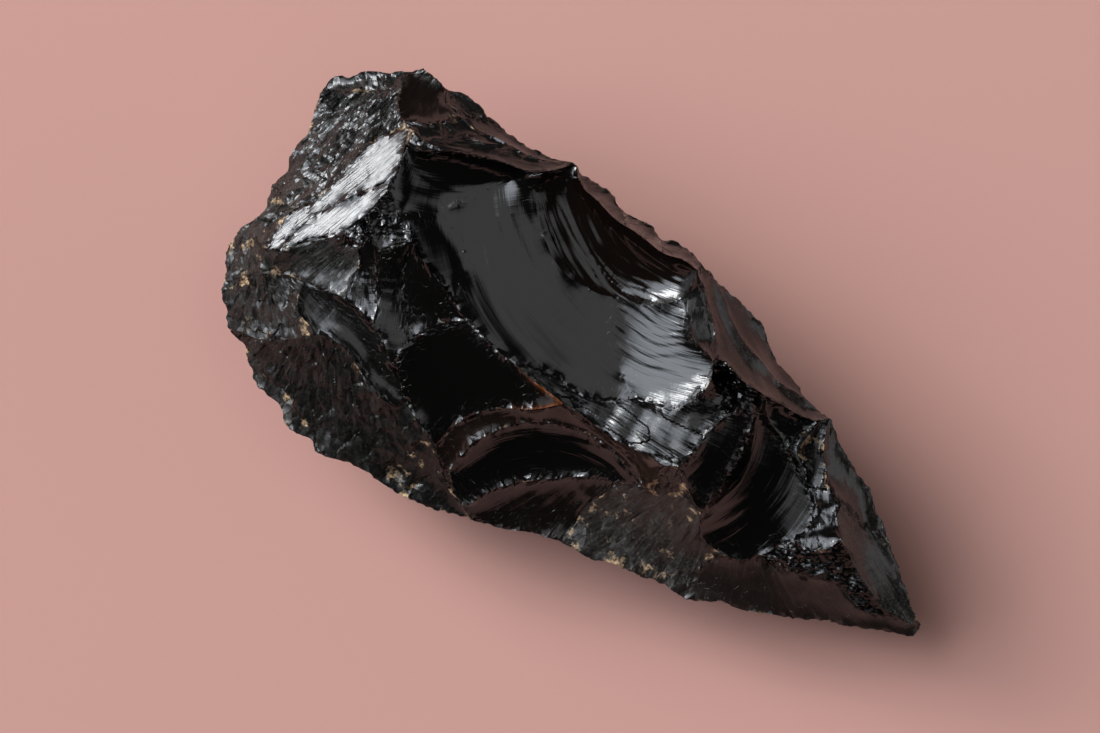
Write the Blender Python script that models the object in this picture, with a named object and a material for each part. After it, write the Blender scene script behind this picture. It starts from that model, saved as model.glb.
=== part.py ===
"""An obsidian chunk: one solid piece of volcanic glass, bounded by hollow flake scars that meet in sharp ridges.

The ridges are drawn on a grid seen from above and a little in front, along the line of sight. Each point says how
far across and how far down the grid it lies, and its height above the surface that the chunk rests on. A scar is the
hollow skin that fills one loop of ridges.
"""

import math

import bpy
import numpy as np
from mathutils import Matrix, Vector, noise
from mathutils.geometry import delaunay_2d_cdt

# Driving dimensions, in metres.
LENGTH = 0.115  # from the heel to the tip
RIDGE_STEP = 0.0014  # between the points along a ridge
SKIN_STEP = 0.0018  # between the points inside a scar
WEAR_DEPTH = 0.0003  # how far the ridges wander from the drawing
WEAR_SIZE = 0.0035  # the length of that wandering
WEAR_SHIFTS = (Vector((0, 0, 0)), Vector((31.4, 0, 0)), Vector((0, 57.2, 0)))  # one for each axis

# The drawing's grid.
GRID_LENGTH = 791.5  # grid steps from the heel to the tip
GRID = LENGTH / GRID_LENGTH
GRID_CENTRE = (576.2, 438.0)  # across and down, of the middle of the chunk's box
MM = 0.001  # heights are drawn in millimetres
SIGHT_LEAN = math.radians(10)  # the line of sight, forward from the vertical
TURN = math.radians(38)  # from the grid's across to the chunk's long axis

# Ridges, each a line of points: (across, down, height), or the name and index of a point on an earlier ridge.
RIDGES = {
    "outline": [
        (335, 75, 30), (352, 76, 30.8), (367, 71, 31.2), (385, 72, 31.8), (408, 69, 32.6), (424, 67, 33),
        (440, 81, 33), (449, 88, 32), (468, 96, 31), (484, 110, 31), (488, 118, 31.5), (511, 133, 32.5),
        (528, 148, 33.5), (553, 158, 35.5), (566, 162, 37), (575, 166, 38), (583, 177, 36.2), (598, 183, 34.5),
        (612, 192, 33.5), (619, 207, 33.8), (636, 218, 33.2), (651, 225, 32.8), (661, 239, 33.2), (675, 242, 32.5),
        (692, 252, 33.4), (701, 265, 35.2), (711, 272, 33), (719, 281, 30), (742, 305, 27), (762, 325, 25),
        (775, 356, 23), (797, 384, 22), (806, 400, 22.5), (820, 411, 23.5), (831, 418, 24.5), (842, 444, 22.3),
        (855, 467, 20.5), (869, 487, 18.8), (874, 505, 17.9), (884, 528, 16.6), (892, 545, 15.5), (901, 568, 13.8),
        (909, 594, 11.8), (918, 616, 9.8), (920, 628, 8), (913, 637, 7.8), (890, 635, 8.4), (858, 629, 9.2),
        (822, 623, 10), (790, 617, 10.6), (750, 609, 11.4), (712, 603, 11.9), (684, 597, 12.2), (665, 584, 12.8),
        (640, 574, 13), (615, 566, 13.2), (590, 557, 13.5), (562, 543, 13.5), (530, 534, 13.5), (500, 527, 13.7),
        (472, 520, 14), (440, 511, 14.7), (404, 497, 16), (380, 482, 17), (352, 466, 17.5), (318, 453, 17.5),
        (309, 440, 17.5), (292, 430, 17.5), (284, 418, 17.5), (278, 404, 18), (262, 391, 18), (252, 380, 18),
        (249, 366, 18.8), (243, 348, 19.6), (231, 330, 20.4), (225, 308, 20.5), (222, 290, 21), (226, 265, 22),
        (228, 244, 23), (243, 227, 24.5), (262, 211, 25.5), (268, 198, 25.5), (272, 184, 26), (287, 173, 27),
        (290, 155, 27), (307, 131, 28), (316, 108, 28.5), (324, 90, 29.3), "outline 0",
    ],
    # The crown, and the brow that runs down from it to the heel.
    "brow": [
        "outline 4", (403, 88, 34.5), (398, 98, 35.5), (399, 112, 37), (402, 120, 37.5), (409, 129, 38.6),
        (406, 146, 39), (400, 162, 39.1), (393, 181, 39.1), (388, 193, 39.1), (377, 205, 38.6), (367, 217, 38.1),
        (355, 226, 37.4), (341, 236, 36.7), (326, 238, 35.6), (310, 241, 34.4), (296, 247, 33.5), (281, 253, 32.4),
        (264, 246, 30.9),
    ],
    "crown edge": ["outline 87", (345, 91, 31.4), (366, 89, 32.2), (385, 90, 33), "brow 1"],
    "crown cut": ["outline 2", "crown edge 2"],
    "crown notch": ["outline 3", "crown edge 3"],
    "slip edge": [
        "brow 5", (392, 131, 37.3), (372, 143, 36.1), (352, 163, 35.2), (335, 183, 34.5), (315, 199, 33.4),
        (297, 207, 32.3), (284, 223, 31.8), "brow 18",
    ],
    "slip crack": [
        "brow 8", (374, 189, 37.8), (354, 197, 36.5), (334, 205, 35.1), (316, 218, 34.1), (298, 232, 33.2), "brow 17",
    ],
    "shoulder foot": ["slip edge 6", (282, 202, 28.5), "outline 81"],
    "heel top": ["brow 18", (249, 235, 26.5), "outline 78"],
    # The nape, behind the brow.
    "nape ridge": [
        "outline 7", (446, 101, 34.5), (449, 112, 36), (441, 125, 38), (421, 122, 38), "brow 4",
    ],
    "nape side": ["outline 10", (471, 117, 32.5), (458, 109, 34), "nape ridge 1"],
    "strip top": [
        "nape ridge 2", (463, 120, 35), (478, 131, 35.7), (492, 139, 36), (507, 147, 36.6),
        (532, 155, 36.8), (551, 161, 37), "outline 14",
    ],
    "pit edge": ["nape ridge 3", (446, 138, 39), (467, 137, 38), "strip top 2"],
    "strip low": ["brow 5", (425, 140, 40.2), "pit edge 1"],
    "crest": [
        "brow 6", (422, 151, 41), (442, 151, 41), (470, 156, 40.5), (500, 163, 40), (528, 171, 39.5),
        (546, 173, 39.3), (557, 170, 39), "outline 15",
    ],
    "crest chip": ["crest 2", "strip low 1"],
    "lens": ["pit edge 2", (485, 144, 38.3), "strip top 4"],
    # The hollows of the top.
    "fan foot": [
        "crest 5", (510, 181, 36.8), (488, 191, 36.1), (462, 203, 35.7), (436, 215, 35.8), (412, 220, 36.9),
        (400, 212, 37.2), "brow 9",
    ],
    "long ridge": [
        "fan foot 5", (412, 240, 37.6), (425, 262, 37.6), (440, 283, 36.8), (455, 303, 35.4), (470, 321, 34.6),
        (497, 349, 33.6), (520, 367, 32.7), (545, 388, 31.6), (562, 403, 31), (590, 420, 30.6), (620, 441, 31),
        (648, 457, 32.3), (663, 466, 33.4), (677, 467, 34.2),
    ],
    "blob edge": ["fan foot 4", (452, 229, 35.2), (464, 251, 34.7), (466, 275, 34.4), "long ridge 4"],
    "swirl": [
        "crest 6", (539, 190, 37.8), (537, 210, 36.5), (542, 235, 35.3), (553, 258, 34.4), (568, 275, 33.7),
        (590, 290, 33), (615, 300, 32.4), (640, 304, 32.9), (662, 303, 34.3), (680, 299, 36),
    ],
    "rim": [
        "outline 15", (581, 183, 38.4), (592, 197, 38.6), (607, 212, 38.8), (625, 227, 38.8), (643, 241, 38.8),
        (662, 253, 38.8), (683, 262, 38.6), (697, 270, 38.4),
    ],
    "knob edge": ["outline 25", "rim 8"],
    "bump one": ["outline 19", "rim 4"],
    "bump two": ["outline 22", "rim 6"],
    "olive top": ["swirl 10", (690, 286, 37.6), "rim 8"],
    "flank in": [
        "rim 8", (704, 288, 36.4), (708, 310, 34.8), (713, 335, 33.8), (719, 357, 34.2), (731, 371, 34.2),
        (745, 382, 33.4), (762, 394, 31.6), (780, 404, 29), (800, 413, 27), (818, 419, 25.6), "outline 34",
    ],
    "flank mid": [
        "outline 26", (722, 297, 31), (731, 320, 30.2), (744, 342, 29.2), (760, 362, 28.1), (780, 381, 26),
        (800, 397, 24.4), "outline 33",
    ],
    "olive left": ["swirl 10", (684, 318, 36.1), (693, 338, 36.2), (706, 354, 36), (712, 363, 35.7)],
    "olive foot": ["olive left 4", "flank in 4"],
    "lip": [
        "olive left 4", (712, 378, 36), (704, 390, 36), (690, 402, 35.3), (674, 410, 34),
        (655, 404, 32.6), (635, 400, 31.4), (612, 400, 30.8), (593, 400, 30.7), (575, 391, 30.9),
        (557, 378, 31.6), (538, 369, 32.4), "long ridge 7",
    ],
    "far line": ["swirl 7", (612, 325, 31.7), (614, 350, 31.2), (622, 376, 31), "lip 6"],
    "terrace edge": ["long ridge 14", (690, 453, 34.2), (703, 437, 34.3), (717, 423, 33.9), (729, 410, 33)],
    "glitter side": ["terrace edge 4", (727, 395, 31.9), (720, 379, 32.5), "olive left 4"],
    "glitter foot": ["terrace edge 4", (742, 414, 32.2), (752, 415, 31.4), (757, 412, 31)],
    "glitter end": ["glitter foot 3", (763, 402, 31), "flank in 7"],
    # The fan, the notch and the scroll near the tip.
    "rib": ["glitter foot 2", (746, 438, 30.8), (736, 462, 30.2), (720, 488, 28.9), (701, 513, 26.6)],
    "fan rim": [
        "rib 4", (701, 530, 21.8), (711, 545, 19.6), (726, 555, 18), (743, 559, 17.2), (758, 556, 17.8),
        (776, 546, 19.6), (797, 537, 21), (811, 521, 22), (815, 505, 22.6), (808, 489, 23),
        (797, 470, 23.6), (786, 452, 25), (775, 440, 26.4), (764, 425, 28.5), "glitter foot 3",
    ],
    "notch low": ["flank in 10", (805, 428, 24.8), (793, 438, 24.6), "fan rim 12"],
    "scroll in": [
        "flank in 10", (808, 434, 25.6), (801, 448, 25.1), (802, 462, 24.2), (807, 475, 23.5), "fan rim 10",
    ],
    "flank low": [
        "outline 34", (825, 432, 25), (823, 450, 24.4), (824, 470, 23.5), (830, 487, 24), (838, 503, 24.2),
        (852, 514, 21.4), (868, 528, 17.2), "outline 40",
    ],
    "cheek foot": ["flank low 4", (820, 488, 23.2), "fan rim 10"],
    "tip ridge": [
        "flank low 5", (836, 520, 24.4), (841, 540, 23.6), (852, 561, 20.6), (866, 585, 16.6),
        (882, 606, 13.3), (898, 619, 10.9), "outline 44",
    ],
    "bright foot": ["tip ridge 2", (826, 549, 22.2), (808, 551, 21), "fan rim 7"],
    "lump foot": ["bright foot 2", (799, 563, 18.5), (783, 569, 17), (768, 564, 16.7), "fan rim 5"],
    "front edge": [
        "tip ridge 6", (878, 617, 11.1), (861, 610, 12.8), (849, 596, 14.8), (836, 583, 16.5), (812, 577, 17.2),
        "lump foot 2",
    ],
    "front left": ["outline 52", (690, 583, 13), (700, 569, 15.2), (712, 557, 16.8), "fan rim 3"],
    # The strip, the arch and the apron along the front.
    "knuckle edge": ["long ridge 13", (655, 476, 30.2), (645, 488, 25.4)],
    "fan edge": ["long ridge 14", (684, 482, 31.2), (693, 498, 28.7), "rib 4"],
    "knuckle foot": ["knuckle edge 2", (668, 494, 26), (686, 499, 26.6), "rib 4"],
    "strip foot": ["long ridge 9", (577, 417, 29.6), (600, 432, 28.2), (622, 451, 27), (637, 469, 26.4), "knuckle edge 2"],
    "apron left": ["outline 57", (575, 525, 14.4), (588, 507, 17), (604, 492, 20), (622, 481, 22.6)],
    "apron top": ["apron left 4", "knuckle edge 2"],
    "arch in": [
        "knuckle edge 2", (624, 466, 25), (606, 447, 26.2), (583, 432, 26.8), (555, 424, 27), (525, 424, 26.6),
        (497, 430, 25.8), (474, 442, 24.6), (458, 457, 22.8), (449, 474, 20.6), (452, 493, 18),
    ],
    "bowl foot": [
        "apron left 4", (595, 477, 21.8), (562, 478, 21), (530, 482, 20.2), (502, 488, 19.2), (478, 498, 18),
        (463, 505, 17.2), "arch in 10",
    ],
    "spine": [
        (345, 299, 32.5), (361, 309, 32.6), (375, 324, 32.4), (384, 341, 31.6), (391, 359, 30.7),
        (398, 376, 28.9), (408, 402, 27), (422, 428, 25.2), (434, 446, 23.8),
    ],
    "arch out": [
        "spine 8", (447, 434, 25), (462, 421, 26.4), (480, 413, 27.4), (505, 409, 28.6), (535, 409, 30.2),
        "long ridge 9",
    ],
    "arch side": ["arch in 10", (441, 475, 19.6), (437, 460, 21.8), "spine 8"],
    "rib left": ["outline 60", "bowl foot 6"],
    "sole ridge": ["outline 62", (420, 481, 16.6), "arch side 1"],
    "brown top": ["outline 63", (394, 471, 17.2), (408, 460, 20), (418, 445, 22.8), "spine 7"],
    # The black window, the flute and the glints between the brow and the apron.
    "window top": ["spine 5", (400, 355, 31), (411, 341, 31.7), (430, 327, 33), (449, 321, 33.9), "long ridge 5"],
    "flute right": ["long ridge 1", (405, 262, 35.6), (403, 286, 34), (405, 312, 32.6), "window top 2"],
    "glint foot": ["brow 11", (370, 236, 37.1), (381, 251, 36.8), (397, 246, 37.6), "long ridge 1"],
    "flute left": ["spine 2", (376, 300, 33.6), (375, 278, 34.6), "glint foot 2"],
    "crystal foot": ["brow 13", (350, 245, 35.6), (361, 247, 35.9), "glint foot 1"],
    "side line": ["crystal foot 2", (359, 264, 34.6), (353, 281, 33.4), "spine 0"],
    # The heel and the apron that falls to the left.
    "apron ridge": ["outline 76", (240, 284, 24), (262, 276, 27.5), (284, 276, 29.6), (305, 281, 31.2), (325, 288, 32.2), "spine 0"],
    "saddle": ["brow 17", (276, 264, 30.6), "apron ridge 3"],
    "apron fold": [
        "outline 74", (262, 338, 23.8), (290, 340, 27.2), (318, 334, 30), (345, 347, 30.4), (362, 375, 28.9),
        (385, 402, 27.3), "spine 6",
    ],
    "apron rib": ["apron ridge 4", (300, 307, 30.2), "apron fold 3"],
    "hem": [
        "outline 73", (258, 358, 20), (270, 378, 19.6), (285, 397, 19.4), (300, 416, 18.8), (314, 436, 17.8),
        "outline 65",
    ],
    "hem cut": ["outline 69", "hem 3"],
    # The back and the underside, down to the bed that the chunk rests on.
    "bed": [
        (372, 206, 0), (430, 196, 0), (500, 240, 0), (572, 296, 0), (648, 350, 0), (716, 424, 0), (762, 492, 0),
        (745, 532, 0), (652, 528, 0), (588, 492, 0), (505, 478, 0), (402, 428, 0), (334, 366, 0), (312, 290, 0),
        "bed 0",
    ],
    "belt": [
        "outline 0", (400, 112, 19), (475, 160, 16), (560, 222, 17), (640, 285, 15), (722, 350, 13),
        (800, 436, 12), "outline 38",
    ],
    "back one": ["outline 5", "belt 1"],
    "back two": ["outline 15", (572, 192, 28), "belt 3"],
    "back three": ["outline 25", (716, 310, 21), "belt 5"],
    "back four": ["outline 34", "belt 6"],
    "keel one": ["outline 84", (328, 180, 11), "bed 0"],
    "keel two": ["belt 2", (463, 186, 7), "bed 2"],
    "keel three": ["belt 4", (652, 324, 7), "bed 4"],
    "keel four": ["belt 6", (785, 462, 5), "bed 6"],
    "keel five": ["outline 44", (830, 585, 4.5), "bed 7"],
    "keel six": ["outline 52", (672, 564, 5.5), "bed 8"],
    "keel seven": ["outline 60", (492, 502, 6), "bed 10"],
    "keel eight": ["outline 65", (360, 438, 6), "bed 11"],
    "keel nine": ["outline 73", (288, 358, 8.5), "bed 12"],
    "keel ten": ["outline 77", (268, 275, 11), "bed 13"],
}

# Scars: the ridge stretches round each, clockwise seen from outside, and its hollow in millimetres.
SCARS = {
    "crown west": ("outline 87 90, crown cut 0 1, crown edge 2 0", 0.5),
    "crown middle": ("outline 2 3, crown notch 0 1, crown edge 3 2, crown cut 1 0", 0.3),
    "crown east": ("outline 3 4, brow 0 1, crown edge 4 3, crown notch 1 0", 0.4),
    "rough shoulder": ("outline 81 87, crown edge 0 4, brow 1 5, slip edge 0 6, shoulder foot 0 2", 0.6),
    "silver slip": ("slip edge 8 0, brow 5 8, slip crack 0 6, brow 17 18", 0.1),
    "silver band": ("slip crack 6 0, brow 8 17", 0.1),
    "heel roof": ("outline 78 81, shoulder foot 2 0, slip edge 6 8, heel top 0 2", 0.5),
    "nose": ("outline 76 78, heel top 2 0, brow 18 17, saddle 0 2, apron ridge 3 0", 0.3),
    "nape": ("brow 4 0, outline 4 7, nape ridge 0 5", 0.7),
    "nape side": ("outline 7 10, nape side 0 3, nape ridge 1 0", 0.5),
    "pink strip": ("nape ridge 5 3, pit edge 0 1, strip low 2 0, brow 5 4", 0.3),
    "pit": ("strip top 0 2, pit edge 3 0, nape ridge 3 2", 0.5),
    "long strip": ("outline 10 14, strip top 7 0, nape ridge 2 1, nape side 3 0", 0.5),
    "lens": ("strip top 2 4, lens 2 0, pit edge 2 3", 0.5),
    "lower strip": ("strip top 4 7, outline 14 15, crest 8 2, crest chip 0 1, strip low 1 2, pit edge 1 2, lens 0 2", 0.4),
    "crest chips": ("strip low 0 1, crest chip 1 0, crest 2 0, brow 6 5", 0.3),
    "black fan": ("brow 9 6, crest 0 5, fan foot 0 7", 1.2),
    "blob": ("fan foot 5 4, blob edge 0 4, long ridge 4 0", 0.5),
    "mirror": ("crest 5 6, swirl 0 7, far line 0 4, lip 6 12, long ridge 7 4, blob edge 4 0, fan foot 4 0", 0.6),
    "far end": ("swirl 7 10, olive left 0 4, lip 0 6, far line 4 0", 0.8),
    "bowl": ("crest 6 8, rim 0 8, olive top 2 0, swirl 10 0", 1.5),
    "olive wall": ("olive top 0 2, flank in 0 4, olive foot 1 0, olive left 4 0", 0.4),
    "terrace": ("lip 12 0, glitter side 3 0, terrace edge 4 0, long ridge 14 7", 0.9),
    "glitter": ("glitter side 0 3, olive foot 0 1, flank in 4 7, glitter end 2 0, glitter foot 3 0", 0.3),
    "rim west": ("outline 15 19, bump one 0 1, rim 4 0", 0.5),
    "rim middle": ("outline 19 22, bump two 0 1, rim 6 4, bump one 1 0", 0.4),
    "rim east": ("outline 22 25, knob edge 0 1, rim 8 6, bump two 1 0", 0.4),
    "flank inner": ("knob edge 1 0, outline 25 26, flank mid 0 7, outline 33 34, flank in 11 0", 0.9),
    "flank outer": ("outline 26 33, flank mid 7 0", 0.7),
    "fan left": ("terrace edge 0 4, glitter foot 0 2, rib 0 4, fan edge 3 0", 0.3),
    "fan": ("rib 4 0, glitter foot 2 3, fan rim 15 0", 1),
    "notch": ("glitter end 0 2, flank in 7 10, notch low 0 3, fan rim 12 15", 1.0),
    "scroll": ("notch low 3 0, scroll in 0 5, fan rim 10 12", 0.4),
    "cheek": ("flank in 10 11, flank low 0 4, cheek foot 0 2, scroll in 5 0", 0.7),
    "shield": ("outline 34 40, flank low 8 0", 0.7),
    "tip flank": ("flank low 5 8, outline 40 44, tip ridge 7 0", 0.4),
    "bright face": ("cheek foot 2 0, flank low 4 5, tip ridge 0 2, bright foot 0 3, fan rim 7 10", 0.3),
    "lumps": ("fan rim 5 7, bright foot 3 2, lump foot 0 4", 0.2),
    "coal": ("bright foot 2 0, tip ridge 2 6, front edge 0 6, lump foot 2 0", 0.7),
    "front": ("outline 44 52, front left 0 4, fan rim 3 5, lump foot 4 2, front edge 6 0, tip ridge 6 7", 0.3),
    "apron": ("outline 52 57, apron left 0 4, apron top 0 1, knuckle foot 0 3, fan rim 0 3, front left 4 0", 0.9),
    "knuckle": ("long ridge 13 14, fan edge 0 3, knuckle foot 3 0, knuckle edge 2 0", 0.5),
    "brown strip": ("long ridge 9 13, knuckle edge 0 2, strip foot 5 0", 0.4),
    "arch band": ("arch out 0 6, strip foot 0 5, arch in 0 10, arch side 0 3", 0.5),
    "arch bowl": ("arch in 10 0, apron top 1 0, bowl foot 0 7", 0.9),
    "ribs": ("outline 57 60, rib left 0 1, bowl foot 6 0, apron left 4 0", 0.9),
    "dark foot": ("outline 60 62, sole ridge 0 2, arch side 1 0, bowl foot 7 6, rib left 1 0", 0.5),
    "brown foot": ("outline 62 63, brown top 0 4, spine 7 8, arch side 3 1, sole ridge 2 0", 0.4),
    "window": ("window top 0 5, long ridge 5 9, arch out 6 0, spine 8 5", 0.4),
    "upper window": ("long ridge 1 5, window top 5 2, flute right 4 0", 0.2),
    "flute": ("glint foot 2 4, flute right 0 4, window top 2 0, spine 5 2, flute left 0 3", 0.5),
    "glint": ("fan foot 7 5, long ridge 0 1, glint foot 4 0, brow 11 9", 0.4),
    "crystals": ("glint foot 0 1, crystal foot 3 0, brow 13 11", 0.2),
    "glints": ("crystal foot 2 3, glint foot 1 2, flute left 3 0, spine 2 0, side line 3 0", 0.4),
    "shoulder": ("brow 17 13, crystal foot 0 2, side line 0 3, apron ridge 6 3, saddle 2 0", 0.7),
    "apron rough": ("outline 74 76, apron ridge 0 4, apron rib 0 2, apron fold 3 0", 0.6),
    "apron smooth": ("apron ridge 4 6, spine 0 6, apron fold 7 3, apron rib 2 0", 0.8),
    "apron lower": ("outline 73 74, apron fold 0 7, spine 6 7, brown top 4 0, outline 63 65, hem 6 0", 0.8),
    "hem west": ("outline 69 73, hem 0 3, hem cut 1 0", 0.2),
    "hem east": ("outline 65 69, hem cut 0 1, hem 3 6", 0.2),
    "back crown": ("outline 5 0, belt 0 1, back one 1 0", 0.8),
    "back brow": ("outline 15 5, back one 0 1, belt 1 3, back two 2 0", 1.5),
    "back bowl": ("outline 25 15, back two 0 2, belt 3 5, back three 2 0", 1.8),
    "back flank": ("outline 34 25, back three 0 2, belt 5 6, back four 1 0", 1.2),
    "back shield": ("outline 38 34, back four 0 1, belt 6 7", 0.5),
    "under crown": ("outline 88 84, keel one 0 2, bed 0 2, keel two 2 0, belt 2 0", 1.5),
    "under brow": ("keel two 0 2, bed 2 4, keel three 2 0, belt 4 2", 1.6),
    "under flank": ("keel three 0 2, bed 4 6, keel four 2 0, belt 6 4", 1.2),
    "under tip": ("outline 44 38, belt 7 6, keel four 0 2, bed 6 7, keel five 2 0", 1.2),
    "under front": ("outline 52 44, keel five 0 2, bed 7 8, keel six 2 0", 0.9),
    "under apron": ("outline 60 52, keel six 0 2, bed 8 10, keel seven 2 0", 0.8),
    "under foot": ("outline 65 60, keel seven 0 2, bed 10 11, keel eight 2 0", 0.7),
    "under hem": ("outline 73 65, keel eight 0 2, bed 11 12, keel nine 2 0", 0.6),
    "under heel": ("outline 77 73, keel nine 0 2, bed 12 13, keel ten 2 0", 0.6),
    "under shoulder": ("outline 84 77, keel ten 0 2, bed 13 14, keel one 2 0", 0.9),
    "bed": ("bed 14 0", 0.0),
}
FLAT = "bed"  # the scar that the chunk rests on stays flat


def placed(across, down, height):
    """The point in metres: the grid's across and down are seen along the line of sight, so height lifts them."""
    right = (across - GRID_CENTRE[0]) * GRID
    seen_up = (GRID_CENTRE[1] - down) * GRID
    height = height * MM
    away = (seen_up - height * math.sin(SIGHT_LEAN)) / math.cos(SIGHT_LEAN)
    return Matrix.Rotation(TURN, 3, "Z") @ Vector((right, away, height))


def worn(point, flat):
    """The point moved a little by natural wandering. On the bed it stays at its height."""
    moved = Vector([noise.noise(point / WEAR_SIZE + shift) for shift in WEAR_SHIFTS]) * WEAR_DEPTH
    if flat:
        moved.z = 0
    return point + moved


def curve_point(before, start, end, after, share):
    """A point between start and end on the smooth curve through all four."""
    square, cube = share * share, share * share * share
    return 0.5 * (
        2 * start
        + (end - before) * share
        + (2 * before - 5 * start + 4 * end - after) * square
        + (3 * start - before - 3 * end + after) * cube
    )


class Chunk:
    """The points and faces of the solid, as its ridges are laid out and its scars are filled."""

    def __init__(self):
        self.points = []
        self.faces = []
        self.corners = {}
        self.stretches = {}
        for name, line in RIDGES.items():
            self.lay_ridge(name, line)

    def add(self, point):
        self.points.append(point)
        return len(self.points) - 1

    def lay_ridge(self, name, line):
        """Adds the ridge's own corners, then the points along each stretch between two corners."""
        ids = []
        for index, spot in enumerate(line):
            if isinstance(spot, str):
                ids.append(self.corners[spot])
            else:
                ids.append(self.add(worn(placed(*spot), name == FLAT)))
            self.corners[f"{name} {index}"] = ids[-1]
        corners = [self.points[i] for i in ids]
        closed = ids[0] == ids[-1]
        for i in range(len(ids) - 1):
            start, end = corners[i], corners[i + 1]
            before = corners[i - 1] if i else (corners[-2] if closed else 2 * start - end)
            after = corners[i + 2] if i + 2 < len(ids) else (corners[1] if closed else 2 * end - start)
            count = max(1, round((end - start).length / RIDGE_STEP))
            between = [
                self.add(worn(curve_point(before, start, end, after, n / count), name == FLAT))
                for n in range(1, count)
            ]
            self.stretches[name, i] = [ids[i], *between, ids[i + 1]]

    def loop(self, text):
        """The points round a scar, from the ridge stretches that the text names."""
        ring = []
        for part in text.split(", "):
            name, first, last = part.rsplit(" ", 2)
            first, last = int(first), int(last)
            count = len(RIDGES[name]) - 1
            for i in range(first, last) if first < last else range(first - 1, last - 1, -1):
                stretch = self.stretches[name, i % count]
                stretch = stretch if first < last else stretch[::-1]
                if ring and ring[-1] != stretch[0]:
                    raise ValueError(f"{part!r} doesn't start where the ridge before it ends")
                ring += stretch[1:] if ring else stretch
        if ring[0] != ring[-1]:
            raise ValueError(f"the loop {text!r} isn't closed")
        return ring[:0:-1]

    def fill(self, name, text, hollow):
        """Fills the scar's loop with a skin that hangs from its ridges and is hollowed between them."""
        ring = self.loop(text)
        corners = np.array([self.points[i] for i in ring])
        centre, to_plane = own_plane(corners)
        flat_ring = (corners - centre) @ to_plane.T
        inner = inner_points(flat_ring[:, :2])
        weights = mean_value_weights(inner, flat_ring[:, :2])
        depth = hollow * MM * bowl(inner, flat_ring[:, :2])
        inner = np.column_stack([inner, weights @ flat_ring[:, 2] - depth])
        ids = list(ring)
        for spot in inner:
            ids.append(self.add(Vector(spot @ to_plane + centre)))
        layout = [Vector(spot[:2]) for spot in np.vstack([flat_ring, inner])]
        made = delaunay_2d_cdt(layout, [], [list(range(len(ring)))], 1, 1e-9)
        if len(made[0]) != len(layout):
            raise ValueError(f"the ridges round {name} cross each other")
        own = [sources[0] for sources in made[3]]
        self.faces += [[ids[own[i]] for i in face] for face in made[2]]


def own_plane(corners):
    """The middle of a loop, and the rows of its plane's two axes and its outward normal."""
    centre = corners.mean(axis=0)
    around = corners - centre
    normal = np.cross(around, np.roll(around, -1, axis=0)).sum(axis=0)
    normal /= np.linalg.norm(normal)
    first = np.cross(normal, np.eye(3)[np.argmin(np.abs(normal))])
    first /= np.linalg.norm(first)
    return centre, np.array([first, np.cross(normal, first), normal])


def to_ring(points, ring):
    """For each point and each side of the ring: the vector to the side's start, its length, and the side."""
    gaps = ring[None, :, :] - points[:, None, :]
    return gaps, np.linalg.norm(gaps, axis=2), np.roll(ring, -1, axis=0) - ring


def edge_distance(points, ring):
    """How far each point is from the nearest side of the ring."""
    gaps, _, sides = to_ring(points, ring)
    share = np.clip(-(gaps * sides).sum(axis=2) / (sides**2).sum(axis=1), 0, 1)
    return np.linalg.norm(gaps + share[:, :, None] * sides, axis=2).min(axis=1)


def turns_round(points, ring):
    """True for each point that the ring goes round."""
    gaps, _, _ = to_ring(points, ring)
    after = np.roll(gaps, -1, axis=1)
    angle = np.arctan2(
        gaps[:, :, 0] * after[:, :, 1] - gaps[:, :, 1] * after[:, :, 0], (gaps * after).sum(axis=2)
    )
    return np.abs(angle.sum(axis=1)) > math.pi


def inner_points(ring):
    """A triangular lattice inside the ring, clear of its sides."""
    low, high = ring.min(axis=0), ring.max(axis=0)
    rows = np.arange(low[1], high[1], SKIN_STEP * math.sqrt(0.75))
    lattice = [
        (x + (row % 2) * SKIN_STEP / 2, y)
        for row, y in enumerate(rows)
        for x in np.arange(low[0], high[0], SKIN_STEP)
    ]
    lattice = np.array(lattice).reshape(-1, 2)
    lattice = lattice[turns_round(lattice, ring)]
    return lattice[edge_distance(lattice, ring) > 0.55 * SKIN_STEP]


def mean_value_weights(points, ring):
    """Floater's mean value coordinates: how much each ring point counts at each inner point."""
    gaps, far, _ = to_ring(points, ring)
    after, far_after = np.roll(gaps, -1, axis=1), np.roll(far, -1, axis=1)
    cross = gaps[:, :, 0] * after[:, :, 1] - gaps[:, :, 1] * after[:, :, 0]
    cross = np.where(np.abs(cross) < 1e-14, 1e-14, cross)
    half_tangent = (far * far_after - (gaps * after).sum(axis=2)) / cross
    weights = (half_tangent + np.roll(half_tangent, 1, axis=1)) / far
    return weights / weights.sum(axis=1, keepdims=True)


def bowl(points, ring):
    """The share of the full hollow at each point: 0 at the ridges, 1 where the ridges are farthest."""
    if not len(points):
        return np.zeros(0)
    _, far, sides = to_ring(points, ring)
    near = (np.linalg.norm(sides, axis=1) / far**3).sum(axis=1) ** -0.5
    return 1 - (1 - near / near.max()) ** 2


def glass():
    """Black volcanic glass."""
    material = bpy.data.materials.new("obsidian")
    material.use_nodes = True
    shader = material.node_tree.nodes["Principled BSDF"]
    shader.inputs["Base Color"].default_value = (0.012, 0.010, 0.009, 1)
    shader.inputs["Roughness"].default_value = 0.12
    shader.inputs["Metallic"].default_value = 0
    return material


def main():
    for old in list(bpy.data.objects):
        bpy.data.objects.remove(old)
    chunk = Chunk()
    for name, (text, hollow) in SCARS.items():
        chunk.fill(name, text, hollow)
    mesh = bpy.data.meshes.new("obsidian_chunk")
    mesh.from_pydata(chunk.points, [], chunk.faces)
    mesh.materials.append(glass())
    body = bpy.data.objects.new("obsidian_chunk", mesh)
    bpy.context.scene.collection.objects.link(body)


main()
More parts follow.
